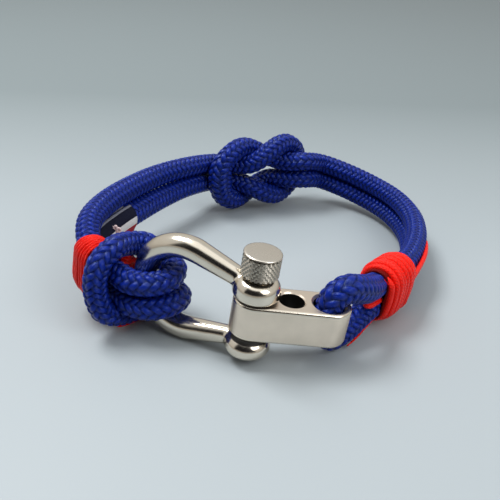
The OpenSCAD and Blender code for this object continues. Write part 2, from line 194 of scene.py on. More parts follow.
def at_rest() -> Matrix:
    """Matrix from the clasp's frame to the row's, in millimetres, as the bracelet lies."""
    lean = Matrix.Rotation(math.radians(LEAN_Y), 4, "Y") @ Matrix.Rotation(math.radians(LEAN_X), 4, "X")
    return Matrix.Translation(REST_SHIFT) @ lean


def to_row(points: np.ndarray) -> np.ndarray:
    """Brings rows of x, y, z from the clasp's frame to the row's, in metres."""
    place = np.array(at_rest())
    return (np.asarray(points, float) @ place[:3, :3].T + place[:3, 3]) * MM


def unit(vectors: np.ndarray) -> np.ndarray:
    """The same directions at length one."""
    return vectors / np.linalg.norm(vectors, axis=1)[:, None]


def turned_z(point: Point, degrees: float) -> Point:
    """Turns a point about the Z axis, positive from X to Y."""
    c, s = math.cos(math.radians(degrees)), math.sin(math.radians(degrees))
    return (point[0] * c - point[1] * s, point[0] * s + point[1] * c, point[2])


def hitch_point(row: Row, side: int) -> Row:
    """Place of a row of the hitch in the clasp's frame.

    Args:
        row: a, b, z and fullness.
        side: 1 for the upper half and -1 for the lower.

    Returns:
        x, y, z and fullness.
    """
    roll = math.radians(HITCH_ROLL)
    a, z = row[0], side * row[2]
    out = CROWN_OUT + CROWN_R + a * math.cos(roll) + z * math.sin(roll)
    height = z * math.cos(roll) - a * math.sin(roll) + HITCH_DROP
    return (*turned_z((-out, -row[1], height), -BOW_TURN), row[3])


def run_point(row: Row, side: int) -> Row:
    """Place of a strand in a run of two.

    Args:
        row: x, y and z between the strands, and if they aren't 0 and 1 their lean in degrees and fullness.
        side: 1 for the upper strand and -1 for the lower.

    Returns:
        x, y, z and fullness.
    """
    x, y, z = row[:3]
    lean, fullness = row[3:] or (0, 1.0)
    reach = side * RUN_Z * fullness
    out = (x - RING_MID[0], y - RING_MID[1])
    aside = reach * math.sin(math.radians(lean)) / math.hypot(*out)
    return (x + aside * out[0], y + aside * out[1], z + reach * math.cos(math.radians(lean)), fullness)


def loop_point(row: Row, side: int) -> Row:
    """Place of a row of the loop above or below the bar, with its fullness."""
    return (row[0], row[1], side * row[2], row[3])


def knot_point(row: Row, side: int, hand: int) -> Row:
    """Place of a row of the knot in the clasp's frame.

    Args:
        row: s, z, n and the fullness of each rope.
        side: 1 for the upper half and -1 for the lower.
        hand: 1 for the shackle side's rope and -1 for the bar side's.

    Returns:
        x, y, z and fullness.
    """
    roll = math.radians(KNOT_ROLL)
    s, n, z = hand * row[0], hand * row[2], side * row[1]
    along = s * math.cos(roll) - z * math.sin(roll)
    height = z * math.cos(roll) + s * math.sin(roll)
    x, y, z = turned_z((along, -n, height), KNOT_TURN)
    return (x + KNOT_MID[0], y + KNOT_MID[1], z + KNOT_MID[2], row[3] if hand > 0 else row[4])


def between(over: Row, under: Row, place: Placer) -> Row:
    """Middle between the upper and the lower strand, from a row of each and what places it."""
    return tuple(((np.array(place(over, 1)[:3]) + np.array(place(under, -1)[:3])) / 2).tolist())


def curve_points(p: np.ndarray, shares: np.ndarray) -> np.ndarray:
    """Points between the second and third of four rows, on the smooth curve through them.

    Args:
        p: The four rows.
        shares: How far along the stretch each point is, from 0 to 1.

    Returns:
        A row for each share.
    """
    gaps = [math.sqrt(max(float(np.linalg.norm((b - a)[:3])), LEAST_GAP)) for a, b in zip(p, p[1:])]
    t1, t2, t3 = np.cumsum(gaps)
    s = shares[:, None]
    t = t1 + (t2 - t1) * s
    a1 = p[0] + (p[1] - p[0]) * (t / t1)
    a2 = p[1] + (p[2] - p[1]) * s
    a3 = p[2] + (p[3] - p[2]) * ((t - t2) / (t3 - t2))
    b1 = a1 + (a2 - a1) * (t / t2)
    b2 = a2 + (a3 - a2) * ((t - t1) / (t3 - t1))
    return b1 + (b2 - b1) * s


def evenly(rows: np.ndarray, count: int, endpoint: bool = True) -> np.ndarray:
    """Rows evenly spaced along a line.

    Args:
        rows: The line, its place in the first three columns.
        count: How many rows it gets.
        endpoint: Whether the last one lies at the line's end.

    Returns:
        The new rows.
    """
    run = np.concatenate([[0], np.cumsum(np.linalg.norm(np.diff(rows[:, :3], axis=0), axis=1))])
    at = np.linspace(0, run[-1], count, endpoint=endpoint)
    return np.stack([np.interp(at, run, column) for column in rows.T], axis=1)


@dataclass
class Route:
    """A smooth centre line: rows of x, y, z and fullness."""

    rows: np.ndarray
    closed: bool

    @classmethod
    def through(cls, points: list[Row], closed: bool) -> "Route":
        """Smooth curve through listed rows.

        Args:
            points: Rows of x, y, z and fullness; on an open curve the first and last only aim it.
            closed: Whether the curve comes back to its start.

        Returns:
            The route, finely sampled.
        """
        p, n = np.array(points, float), len(points)
        shares = np.arange(CURVE_STEPS) / CURVE_STEPS
        spans = range(n) if closed else range(1, n - 2)
        made = [curve_points(p[[i - 1, i, (i + 1) % n, (i + 2) % n]], shares) for i in spans]
        if not closed:
            made.append(p[n - 2][None])
        return cls(np.vstack(made), closed)

    def whole(self) -> np.ndarray:
        """Its rows, with the first again at the end of a closed line."""
        return np.vstack([self.rows, self.rows[:1]]) if self.closed else self.rows

    def length(self) -> float:
        """Length of the centre line, in millimetres."""
        return float(np.linalg.norm(np.diff(self.whole()[:, :3], axis=0), axis=1).sum())

    def spaced(self, count: int) -> "Route":
        """The same line with a number of evenly spaced rows."""
        return Route(evenly(self.whole(), count, endpoint=not self.closed), self.closed)

    def tangents(self) -> np.ndarray:
        """Unit direction of the line at each row.

        Returns:
            A row for each row of the line.
        """
        p = self.rows[:, :3]
        if self.closed:
            return unit(np.roll(p, -1, axis=0) - np.roll(p, 1, axis=0))
        return unit(np.gradient(p, axis=0))

    def upright(self) -> tuple[np.ndarray, np.ndarray, np.ndarray]:
        """Directions that keep upright along the line.

        Returns:
            At each row the way along the line, the way up and the way aside.
        """
        t = self.tangents()
        up = unit(np.array([0.0, 0.0, 1.0]) - t * t[:, 2:3])
        return t, up, np.cross(t, up)

    def frames(self) -> tuple[np.ndarray, np.ndarray]:
        """Two directions square to the line, carried along it without kinks.

        Returns:
            The first and the second direction at each row.
        """
        t = self.tangents()
        first = np.zeros_like(t)
        v = np.array([0.0, 0.0, 1.0])
        for i, direction in enumerate(t):
            v = v - direction * (v @ direction)
            v = v / np.linalg.norm(v)
            first[i] = v
        second = np.cross(t, first)
        if not self.closed:
            return first, second
        last = v - t[0] * (v @ t[0])
        missing = math.atan2(float(np.cross(first[0], last) @ t[0]), float(first[0] @ last))
        turn = -missing * np.arange(len(t)) / len(t)
        c, s = np.cos(turn)[:, None], np.sin(turn)[:, None]
        return first * c + second * s, second * c - first * s


def rope_route(over: list[Row], under: list[Row], place: Placer, run: list[Row], hand: int) -> Route:
    """Closed centre line of a rope: its upper half, and its lower half back.

    Args:
        over: Upper rows at the clasp.
        under: Lower rows at the clasp.
        place: What places these rows.
        run: Rows between the clasp and the knot.
        hand: 1 for the shackle side's rope and -1 for the bar side's.

    Returns:
        The route.
    """
    upper, lower = (
        [place(r, side) for r in front]
        + [run_point(r, side) for r in run]
        + [knot_point(r, side, hand) for r in KNOT]
        for side, front in ((1, over), (-1, under))
    )
    return Route.through(upper + lower[-2:0:-1], closed=True)


def lead_left(sunk: float = ROPE_D / 2 + 0.05) -> list[Row]:
    """Rows of the twine that is caught under the hitch's lower half."""
    rows = [hitch_point(row, -1) for row in HITCH_UNDER[2:8]]
    return [(x, y, z - sunk) for x, y, z, _ in rows]


@dataclass(frozen=True)
class Weave:
    """A two-over, two-under braid, seen in the lattice of its strands."""

    strands: int
    rise: float
    thick: float
    half_width: float = 0.56
    flatness: float = 2.6

    def height(self, u: np.ndarray, v: np.ndarray, pitches: float) -> np.ndarray:
        """Height of the braid over the lowest valley between its strands.

        Args:
            u: Place round the rope, from 0 to 1.
            v: Place along the rope, from 0 to 1.
            pitches: How many strand pitches the rope is long.

        Returns:
            The height at each place, in millimetres.
        """
        p = self.strands * u - pitches * v
        q = self.strands * u + pitches * v
        i, j = np.round(p), np.round(q)

        def arch(x: np.ndarray) -> np.ndarray:
            """Round back of a strand at a distance from its middle."""
            return self.thick * np.sqrt(np.maximum(0, 1 - np.abs(x / self.half_width) ** self.flatness))

        right = self.rise * np.cos(math.pi / 2 * (q + i - 0.5)) + arch(p - i)
        left = -self.rise * np.cos(math.pi / 2 * (p + j - 0.5)) + arch(q - j)
        return np.maximum(right, left)

    def crest(self) -> float:
        """Height of a strand where it lies on top."""
        return self.rise + self.thick


ROPE_WEAVE = Weave(strands=8, rise=0.26, thick=0.4, half_width=0.54, flatness=2.8)
TWINE_WEAVE = Weave(strands=6, rise=0.03, thick=0.1)


@dataclass
class NodeGraph:
    """Short-hand for building a material's node tree."""

    tree: NodeTree

    def put(self, value: object, socket: NodeSocket) -> None:
        """Links an output to a socket, or sets the socket to a plain value.

        Args:
            value: The output or the plain value.
            socket: The input socket.
        """
        if isinstance(value, NodeSocket):
            self.tree.links.new(value, socket)
        else:
            socket.default_value = value

    def fill(self, node: Node, inputs: dict[int | str, object]) -> None:
        """Puts values into a node's inputs, named or numbered."""
        for key, value in inputs.items():
            self.put(value, node.inputs[key])

    def node(self, kind: str, inputs: dict[int | str, object], **settings: object) -> Node:
        """Adds a shader node.

        Args:
            kind: The end of the node's type name.
            inputs: What goes into its inputs.
            **settings: Its properties.

        Returns:
            The new node.
        """
        made = self.tree.nodes.new("ShaderNode" + kind)
        for name, value in settings.items():
            setattr(made, name, value)
        self.fill(made, inputs)
        return made

    def math(self, operation: str, *values: object) -> NodeSocket:
        """Result of a math node on up to three values."""
        return self.node("Math", dict(enumerate(values)), operation=operation).outputs[0]

    def plus(self, a: object, b: object) -> NodeSocket:
        """Sum of two values."""
        return self.math("ADD", a, b)

    def minus(self, a: object, b: object) -> NodeSocket:
        """Difference of two values."""
        return self.math("SUBTRACT", a, b)

    def times(self, a: object, b: object) -> NodeSocket:
        """Product of two values."""
        return self.math("MULTIPLY", a, b)

    def above(self, value: object, limit: object) -> NodeSocket:
        """1 where a value is over a limit, 0 elsewhere."""
        return self.math("GREATER_THAN", value, limit)

    def mix(self, share: object, low: object, high: object) -> NodeSocket:
        """Colour between two colours."""
        return self.node("Mix", {0: share, 6: low, 7: high}, data_type="RGBA").outputs[2]

    def choose(self, share: object, low: object, high: object) -> NodeSocket:
        """Number between two numbers."""
        return self.node("Mix", {0: share, 2: low, 3: high}, data_type="FLOAT").outputs[0]

    def span(self, value: object, low: float, high: float, start: float = 0, end: float = 1) -> NodeSocket:
        """A value's place between two limits, carried to a start and an end and held there."""
        return self.node("MapRange", dict(enumerate((value, low, high, start, end))), clamp=True).outputs[0]

    def noise(self, vector: object, scale: float, detail: float = 2.0, rough: float = 0.5) -> NodeSocket:
        """Value of a noise texture."""
        inputs = {"Vector": vector, "Scale": scale, "Detail": detail, "Roughness": rough}
        return self.node("TexNoise", inputs).outputs["Fac"]

    def vector(self, *values: object) -> NodeSocket:
        """A vector from up to three values."""
        return self.node("CombineXYZ", dict(enumerate(values))).outputs[0]

    def split(self, vector: NodeSocket) -> list[NodeSocket]:
        """The three values of a vector."""
        return list(self.node("SeparateXYZ", {0: vector}).outputs)

    def uv(self, name: str) -> list[NodeSocket]:
        """The three values of a UV map."""
        return self.split(self.node("UVMap", {}, uv_map=name).outputs[0])

    def place(self, kind: str = "Object") -> NodeSocket:
        """Place on the surface in one of the texture spaces."""
        return self.node("TexCoord", {}).outputs[kind]

    def bump(self, height: object, distance: float, strength: float) -> NodeSocket:
        """Normal of a surface with small relief."""
        return self.node("Bump", {"Strength": strength, "Distance": distance, "Height": height}).outputs[0]


def new_material(name: str) -> tuple[Material, NodeGraph, Node]:
    """An empty material with its main shader.

    Args:
        name: The material's name.

    Returns:
        The material, its graph and its shader node.
    """
    material = bpy.data.materials.new(name)
    material.use_nodes = True
    return material, NodeGraph(material.node_tree), material.node_tree.nodes["Principled BSDF"]


@dataclass(frozen=True)
class BraidFinish:
    """Shiny fibres of a braided cord, laid along its strands, with painted shade in the valleys between them.
    """

    name: str
    light: Colour
    deep: Colour
    # colour of the valleys between the strands: painted shade
    gap: Colour
    roughness: float
    gloss: float
    fibres: float
    relief: float
    tint: Colour
    other_hand: float = 37.0

    def material(self, weave: Weave, pitches: float) -> Material:
        """Material that follows the cord's own UV map.

        Args:
            weave: The braid's lattice and relief.
            pitches: How many strand pitches the cord is long.

        Returns:
            The material.
        """
        made, g, shader = new_material(self.name)
        u, v, _ = g.uv("braid")
        across, along = g.times(u, float(weave.strands)), g.times(v, float(pitches))
        p, q = g.minus(across, along), g.plus(across, along)
        i, j = g.math("ROUND", p), g.math("ROUND", q)
        dx, dy = g.minus(p, i), g.minus(q, j)

        def arch(x: NodeSocket) -> NodeSocket:
            """Round back of a strand."""
            reach = g.math("POWER", g.math("DIVIDE", g.math("ABSOLUTE", x), weave.half_width), weave.flatness)
            return g.times(g.math("SQRT", g.math("MAXIMUM", g.minus(1.0, reach), 0.0)), weave.thick)

        def wave(a: NodeSocket, b: NodeSocket, rise: float) -> NodeSocket:
            """Over and under of a strand along its way."""
            phase = g.times(g.minus(g.plus(a, b), 0.5), math.pi / 2)
            return g.times(g.math("COSINE", phase), rise)

        right = g.plus(wave(q, i, weave.rise), arch(dx))
        left = g.plus(wave(p, j, -weave.rise), arch(dy))
        height = g.math("MAXIMUM", right, left)
        on_top = g.above(right, left)
        side, way = g.choose(on_top, dy, dx), g.choose(on_top, p, q)
        strand = g.choose(on_top, g.plus(j, self.other_hand), i)
        threads = g.noise(g.vector(g.times(side, self.fibres), g.times(way, 0.7), strand), 1.0, 3.0, 0.6)
        patch = g.noise(g.vector(g.math("FLOOR", g.times(way, 0.5)), strand), 3.7, 0.0)
        lit = g.times(g.span(threads, 0.3, 0.72), g.span(patch, 0.3, 0.7, 0.45, 1.0))
        # painted shade: the colour falls to the gap colour from the strands' crests down into the valleys
        share = g.span(height, 0.32 * weave.crest(), 0.95 * weave.crest())
        relief = g.plus(g.times(height, self.relief), g.times(threads, 0.12))
        inputs = {
            "Base Color": g.mix(share, self.gap, g.mix(lit, self.deep, self.light)),
            "Roughness": g.span(threads, 0.3, 0.7, self.roughness + 0.1, self.roughness - 0.06),
            "Normal": g.bump(relief, MM, 0.9),
            "Specular IOR Level": self.gloss,
            "Specular Tint": self.tint,
        }
        g.fill(shader, inputs)
        return made


@dataclass(frozen=True)
class SteelFinish:
    """Stainless steel with a soft polish, faint scratches and smears."""

    name: str
    colour: Colour
    roughness: float
    smear: float
    scratch: float
    smear_scale: float = 260.0
    grain_scale: float = 5200.0
    scratch_scale: Point = (900.0, 6000.0, 5200.0)
    scratch_turn: Point = (0.3, 0.1, 0.5)
    darker: float = 0.93

    def material(self) -> Material:
        """Material in the object's own space.

        Returns:
            The material.
        """
        made, g, shader = new_material(self.name)
        place = g.place()
        smear = g.noise(place, self.smear_scale, 3.0, 0.55)
        stretch = g.node("Mapping", {0: place, "Scale": self.scratch_scale, "Rotation": self.scratch_turn})
        lines = g.noise(stretch.outputs[0], 1.0, 2.0, 0.6)
        grain = g.noise(place, self.grain_scale, 2.0, 0.6)
        dark = tuple(c * self.darker for c in self.colour[:3]) + (1.0,)
        smeared = g.span(smear, 0.3, 0.7, self.roughness, self.roughness + self.smear)
        fine = g.plus(g.times(lines, self.scratch), g.times(grain, 0.5 * self.scratch))
        inputs = {
            "Base Color": g.mix(g.span(smear, 0.35, 0.65), self.colour, dark),
            "Roughness": g.plus(smeared, g.span(lines, 0.55, 0.8, 0.0, self.scratch)),
            "Normal": g.bump(fine, 0.02 * MM, 0.5),
            "Metallic": 1.0,
        }
        g.fill(shader, inputs)
        return made


@dataclass(frozen=True)
class RibbonFinish:
    """Woven ribbon in bands from its fold to its selvedge."""

    name: str
    bands: tuple[Colour, ...]
    limits: Row
    frayed: tuple[Colour, Colour] = ((0.75, 0.7, 0.7, 1), (0.5, 0.06, 0.08, 1))
    worn: Colour = (0.3, 0.3, 0.34, 1)
    gap: Colour = (0.01, 0.01, 0.02, 1)
    warps: float = 420.0
    wefts: float = 520.0

    def material(self) -> Material:
        """Material that follows the ribbon's own UV map.

        Returns:
            The material.
        """
        made, g, shader = new_material(self.name)
        along, across, _ = g.uv("ribbon")
        fold = g.math("ABSOLUTE", g.minus(across, 0.5))
        colour = self.bands[0]
        for limit, band in zip(self.limits, self.bands[1:]):
            colour = g.mix(g.above(fold, limit), colour, band)
        threads = g.noise(g.vector(g.times(along, 3.0), g.times(across, 9.0)), 9.0, 3.0, 0.7)
        ragged = g.mix(g.span(threads, 0.45, 0.6), *self.frayed)
        inside = g.times(g.math("LESS_THAN", across, 0.5), g.span(fold, 0.28, 0.3, 1.0, 0.0))
        colour = g.mix(g.times(g.span(along, 0.46, 0.58, 1.0, 0.0), inside), colour, ragged)
        warp, weft = g.times(along, self.warps), g.times(across, self.wefts)
        weave = g.times(g.math("SINE", warp), g.math("SINE", weft))
        wear = g.noise(g.vector(along, across), 30.0, 3.0, 0.6)
        colour = g.mix(g.span(wear, 0.45, 0.8, 0.0, 0.02), colour, self.worn)
        inputs = {
            "Base Color": g.mix(g.span(weave, -1.0, 1.0, 0.0, 0.3), colour, self.gap),
            "Normal": g.bump(weave, 0.05 * MM, 0.5),
            "Roughness": 0.62,
            "Specular IOR Level": 0.12,
        }
        g.fill(shader, inputs)
        return made


ROYAL_ROPE = BraidFinish(
    "braided_royal_blue",
    light=(0.0045, 0.026, 0.36, 1),
    deep=(0.002, 0.012, 0.17, 1),
    # painted shade between the rope's strands
    gap=(0.0004, 0.0012, 0.014, 1),
    roughness=0.3,
    gloss=0.34,
    fibres=7.0,
    relief=0.8,
    tint=(0.5, 0.66, 1.0, 1),
)
RED_TWINE = BraidFinish(
    "waxed_red_twine",
    light=(1.0, 0.02, 0.01, 1),
    deep=(0.95, 0.01, 0.005, 1),
    # painted shade between the twine's strands
    gap=(0.45, 0.003, 0.002, 1),
    roughness=0.24,
    gloss=0.5,
    fibres=5.0,
    relief=1.1,
    tint=(1.0, 0.3, 0.24, 1),
)
# a darker, duller copy of the red twine: painted shade for the inner layer under the turns
SHADE_PAINTED_TWINE = replace(
    RED_TWINE, name="red_twine_painted_shade", light=(0.1, 0.002, 0.002, 1), deep=(0.05, 0.001, 0.001, 1), gloss=0.2
)
PALE_THREAD = replace(
    RED_TWINE,
    name="pale_frayed_thread",
    light=(0.9, 0.78, 0.78, 1),
    deep=(0.8, 0.6, 0.6, 1),
    # painted shade between the thread's strands
    gap=(0.6, 0.36, 0.37, 1),
    tint=(1, 1, 1, 1),
)
POLISHED = SteelFinish("polished_steel", (0.77, 0.7, 0.59, 1), roughness=0.15, smear=0.05, scratch=0.008)
BRUSHED = SteelFinish("brushed_bar_steel", (0.82, 0.71, 0.59, 1), roughness=0.3, smear=0.05, scratch=0.04)
SATIN = SteelFinish("satin_steel", (0.69, 0.64, 0.56, 1), roughness=0.24, smear=0.08, scratch=0.1)
KNURLED = SteelFinish("knurled_steel", (0.6, 0.56, 0.49, 1), roughness=0.36, smear=0.1, scratch=0.1)
# near-black steel: painted shade in the bores, on the eyes' inner steps and in the pin head's undercut
SHADE_PAINTED_STEEL = SteelFinish("steel_painted_shade", (0.07, 0.065, 0.06, 1), roughness=0.42, smear=0.1, scratch=0.15)
TRICOLOUR = RibbonFinish(
    "woven_tricolour",
    # bands from the fold out: red, white, navy and grey selvedge; the navy is its dye darkened further with
    # painted shade from between the strands
    bands=((0.36, 0.008, 0.02, 1), (0.72, 0.72, 0.73, 1), (0.0025, 0.004, 0.018, 1), (0.26, 0.27, 0.32, 1)),
    limits=(0.282, 0.355, 0.47),
)


def deselect() -> None:
    """Leaves edit mode and clears the selection."""
    if bpy.context.object and bpy.context.object.mode != "OBJECT":
        bpy.ops.object.mode_set(mode="OBJECT")
    bpy.ops.object.select_all(action="DESELECT")


def only(obj: Object) -> None:
    """Makes one object the selected and active one.

    Args:
        obj: The object.
    """
    deselect()
    obj.select_set(True)
    bpy.context.view_layer.objects.active = obj


@contextmanager
def editing(obj: Object) -> Iterator[None]:
    """Edit mode on one object.

    Args:
        obj: The object.

    Yields:
        Nothing, while it is in edit mode.
    """
    only(obj)
    bpy.ops.object.mode_set(mode="EDIT")
    yield
    bpy.ops.object.mode_set(mode="OBJECT")


def choose(obj: Object, test: Callable[[object], bool], edges: bool = False) -> None:
    """Selects just some vertices or edges of an object's mesh.

    Args:
        obj: The object.
        test: Says whether one is selected.
        edges: Whether the test is on edges.
    """
    with editing(obj):
        bpy.ops.mesh.select_all(action="DESELECT")
    for item in obj.data.edges if edges else obj.data.vertices:
        item.select = test(item)


def linked(name: str, data: ID) -> Object:
    """A new object on some data.

    Args:
        name: The object's name.
        data: Its mesh, camera or lamp.

    Returns:
        The object, linked to the scene.
    """
    obj = bpy.data.objects.new(name, data)
    bpy.context.scene.collection.objects.link(obj)
    return obj


def grid(rows: int, columns: int, round_rows: bool, round_columns: bool) -> tuple[np.ndarray, np.ndarray]:
    """Faces of a grid of points.

    Args:
        rows: How many rows of points it has.
        columns: How many points there are in a row.
        round_rows: Whether the last row joins the first.
        round_columns: Whether the last column joins the first.

    Returns:
        Four vertex numbers for each face, and the row and column of each of its corners.
    """
    last, end = rows - (not round_rows), columns - (not round_columns)
    i, k = np.meshgrid(np.arange(last), np.arange(end), indexing="ij")
    corners = [(i, k), (i + 1, k), (i + 1, k + 1), (i, k + 1)]
    faces = np.stack([a % rows * columns + b % columns for a, b in corners], axis=-1)
    places = np.stack([np.stack(corner, axis=-1) for corner in corners], axis=-2)
    return faces.reshape(-1, 4), places.reshape(-1, 4, 2)


def cord_mesh(name: str, parts: list[Part], uv_name: str, materials: list[Material]) -> Object:
    """A smooth-shaded piece from parts in the clasp's frame.

    Args:
        name: The piece's name.
        parts: Points, faces and the UV of each face's corners.
        uv_name: Name of the UV map.
        materials: A material for each part, or one for all.

    Returns:
        The object, linked to the scene.
    """
    faces, kinds, count = [], [], 0
    for number, (points, loops, _) in enumerate(parts):
        faces += [[count + v for v in loop] for loop in loops]
        kinds += [min(number, len(materials) - 1)] * len(loops)
        count += len(points)
    mesh = bpy.data.meshes.new(name)
    mesh.from_pydata(to_row(np.vstack([part[0] for part in parts])).tolist(), [], faces)
    mesh.shade_smooth()
    layer = mesh.uv_layers.new(name=uv_name)
    layer.data.foreach_set("uv", np.vstack([part[2] for part in parts]).astype(np.float32).ravel())
    for material in materials:
        mesh.materials.append(material)
    mesh.polygons.foreach_set("material_index", kinds)
    return linked(name, mesh)


def settle(obj: Object, name: str, smooth: float) -> Object:
    """Lays a piece modelled in the clasp's frame down as the bracelet rests, in metres.

    Args:
        obj: The piece, whose object may be placed anywhere.
        name: The piece's final name.
        smooth: Edges under this angle, in degrees, are shaded smooth.

    Returns:
        The same object, at the origin and unturned.
    """
    only(obj)
    bpy.ops.object.shade_smooth_by_angle(angle=math.radians(smooth))
    deselect()
    bpy.context.view_layer.update()
    obj.data.transform(Matrix.Scale(MM, 4) @ at_rest() @ obj.matrix_world)
    obj.matrix_world = Matrix.Identity(4)
    obj.name = name
    obj.data.name = name
    return obj


def apply_modifier(obj: Object, kind: str, **settings: object) -> None:
    """Adds a modifier and applies it.

    Args:
        obj: The object.
        kind: The modifier's type.
        **settings: Its properties.
    """
    only(obj)
    modifier = obj.modifiers.new(kind.lower(), kind)
    for key, value in settings.items():
        setattr(modifier, key, value)
    bpy.ops.object.modifier_apply(modifier=modifier.name)


def cut(obj: Object, tool: Object, operation: str = "DIFFERENCE") -> None:
    """Cuts one solid by another, which is then removed."""
    apply_modifier(obj, "BOOLEAN", object=tool, operation=operation, solver="EXACT")
    bpy.data.objects.remove(tool)


def joined(main: Object, others: list[Object]) -> Object:
    """Joins objects into the first.

    Args:
        main: The object that stays.
        others: Those that become part of it.

    Returns:
        The joined object.
    """
    only(main)
    for other in others:
        other.select_set(True)
    bpy.ops.object.join()
    return bpy.context.object


def primitive(add: Callable[..., object], place: Point, **settings: object) -> Object:
    """Adds a primitive mesh.

    Args:
        add: The operator that adds it.
        place: Its middle.
        **settings: Its sizes and sides.

    Returns:
        The new object.
    """
    deselect()
    add(location=place, **settings)
    return bpy.context.object


def drum(radius: float, height: float, place: Point = ORIGIN, sides: int = 64) -> Object:
    """Upright cylinder about a middle point."""
    return primitive(bpy.ops.mesh.primitive_cylinder_add, place, vertices=sides, radius=radius, depth=height)


def taper(low: float, high: float, height: float, place: Point = ORIGIN) -> Object:
    """Upright cone frustum about a middle point, from its lower to its upper radius."""
    sizes = {"radius1": low, "radius2": high, "depth": height}
    return primitive(bpy.ops.mesh.primitive_cone_add, place, vertices=64, **sizes)


def spin(obj: Object, steps: int, angle: float, center: Point, axis: Point) -> None:
    """Spins an object's whole mesh into a solid.

    Args:
        obj: The object.
        steps: Steps of the arc.
        angle: The arc, in radians.
        center: A point on the axis.
        axis: The axis' direction.
    """
    with editing(obj):
        bpy.ops.mesh.select_all(action="SELECT")
        bpy.ops.mesh.spin(steps=steps, angle=angle, center=center, axis=axis)
        bpy.ops.mesh.select_all(action="SELECT")
        bpy.ops.mesh.remove_doubles(threshold=WELD)
        bpy.ops.mesh.normals_make_consistent(inside=False)


def spun(profile: list[tuple[float, float]], finish: SteelFinish | None = None, steps: int = 96) -> Object:
    """Solid spun from a profile about the pin's axis.

    Args:
        profile: Rows of radius and height, from the axis below to the axis above.
        finish: Its finish, if it has one of its own.
        steps: Sides of the round.

    Returns:
        The closed solid.
    """
    mesh = bpy.data.meshes.new("profile")
    mesh.from_pydata([(r, 0, z) for r, z in profile], [(k, k + 1) for k in range(len(profile) - 1)], [])
    obj = linked("profile", mesh)
    spin(obj, steps, 2 * math.pi, ORIGIN, (0, 0, 1))
    if finish:
        mesh.materials.append(finish.material())
    return obj


@dataclass
class Piece:
    """Something that is built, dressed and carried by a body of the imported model."""

    name: str
    node: str
    slot: Slot = Slot.STEEL
    body: Body = Body.BRACELET

    def build(self) -> Object:
        """Models the piece and gives it its finish."""
        raise NotImplementedError

    def declare(self, obj: Object) -> None:
        """Hook for what the piece is beyond a rigid one; it does nothing here."""

    def make(self) -> Object:
        """Builds the piece, binds it to its body and reports it.

        Returns:
            The finished object.
        """
        obj = self.build()
        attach(obj, self.body.value)
        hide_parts(self.node)
        self.declare(obj)
        triangles = sum(len(p.vertices) - 2 for p in obj.data.polygons)
        LOG.info("%s: %d triangles", self.name, triangles)
        return obj


@dataclass
class Sweep:
    """A tube with a braided surface along a route."""

    route: Route
    radius: float
    weave: Weave
    around: int
    pitches: float

    def part(self) -> Part:
        """The tube's mesh, closed by a fan at an open route's ends.

        Returns:
            Its points, its faces, and the UV of each face's corners.
        """
        n, m, closed = len(self.route.rows), self.around, self.route.closed
        length = n if closed else n - 1
        first, second = self.route.frames()
        u, v = np.meshgrid(np.arange(m) / m, np.arange(n) / length)
        sunk = self.weave.height(u, v, self.pitches) - self.weave.crest()
        fullness = self.route.rows[:, 3:4]
        r = self.radius * fullness + sunk * np.minimum(fullness, 1)
        a = 2 * math.pi * u
        points = (
            self.route.rows[:, None, :3]
            + first[:, None, :] * (r * np.cos(a))[..., None]
            + second[:, None, :] * (r * np.sin(a))[..., None]
        ).reshape(-1, 3)
        faces, places = (found[:, [0, 3, 2, 1]] for found in grid(n, m, closed, True))
        loops, uv = faces.tolist(), places.reshape(-1, 2)[:, ::-1] / (m, length)
        if closed:
            return points, loops, uv
        for side, base in enumerate((0, (n - 1) * m)):
            fan = [[base + a, base + (a + 1) % m, n * m + side] for a in range(m)]
            loops += [corner[::-1] for corner in fan] if side == 0 else fan
            rim = np.stack([np.arange(m), np.arange(m) + 1, np.arange(m) + 0.5], axis=-1).reshape(-1) / m
            uv = np.vstack([uv, np.column_stack([rim, np.full(3 * m, float(side))])])
        return np.vstack([points, self.route.rows[[0, -1], :3]]), loops, uv


@dataclass(kw_only=True)
class BraidedRope(Piece):
    """An endless braided rope along its route."""

    slot: Slot = Slot.ROPE
    route: Route
    pitch: float = 1.42
    around: int = 64
    rings_per_pitch: int = 7

    def build(self) -> Object:
        """Sweeps the braid along the rope's centre line.

        Returns:
            The rope.
        """
        pitches = round(self.route.length() / self.pitch)
        line = self.route.spaced(pitches * self.rings_per_pitch)
        part = Sweep(line, ROPE_D / 2, ROPE_WEAVE, self.around, pitches).part()
        return cord_mesh(self.name, [part], "braid", [ROYAL_ROPE.material(ROPE_WEAVE, pitches)])

    def declare(self, obj: Object) -> None:
        """Works out the rope's centre line in the row's frame and its length, and uses neither.

        Args:
            obj: The rope; not used.
        """
        line = to_row(self.route.spaced(PATH_ROWS).rows[:, :3])
        self.route.length() * MM


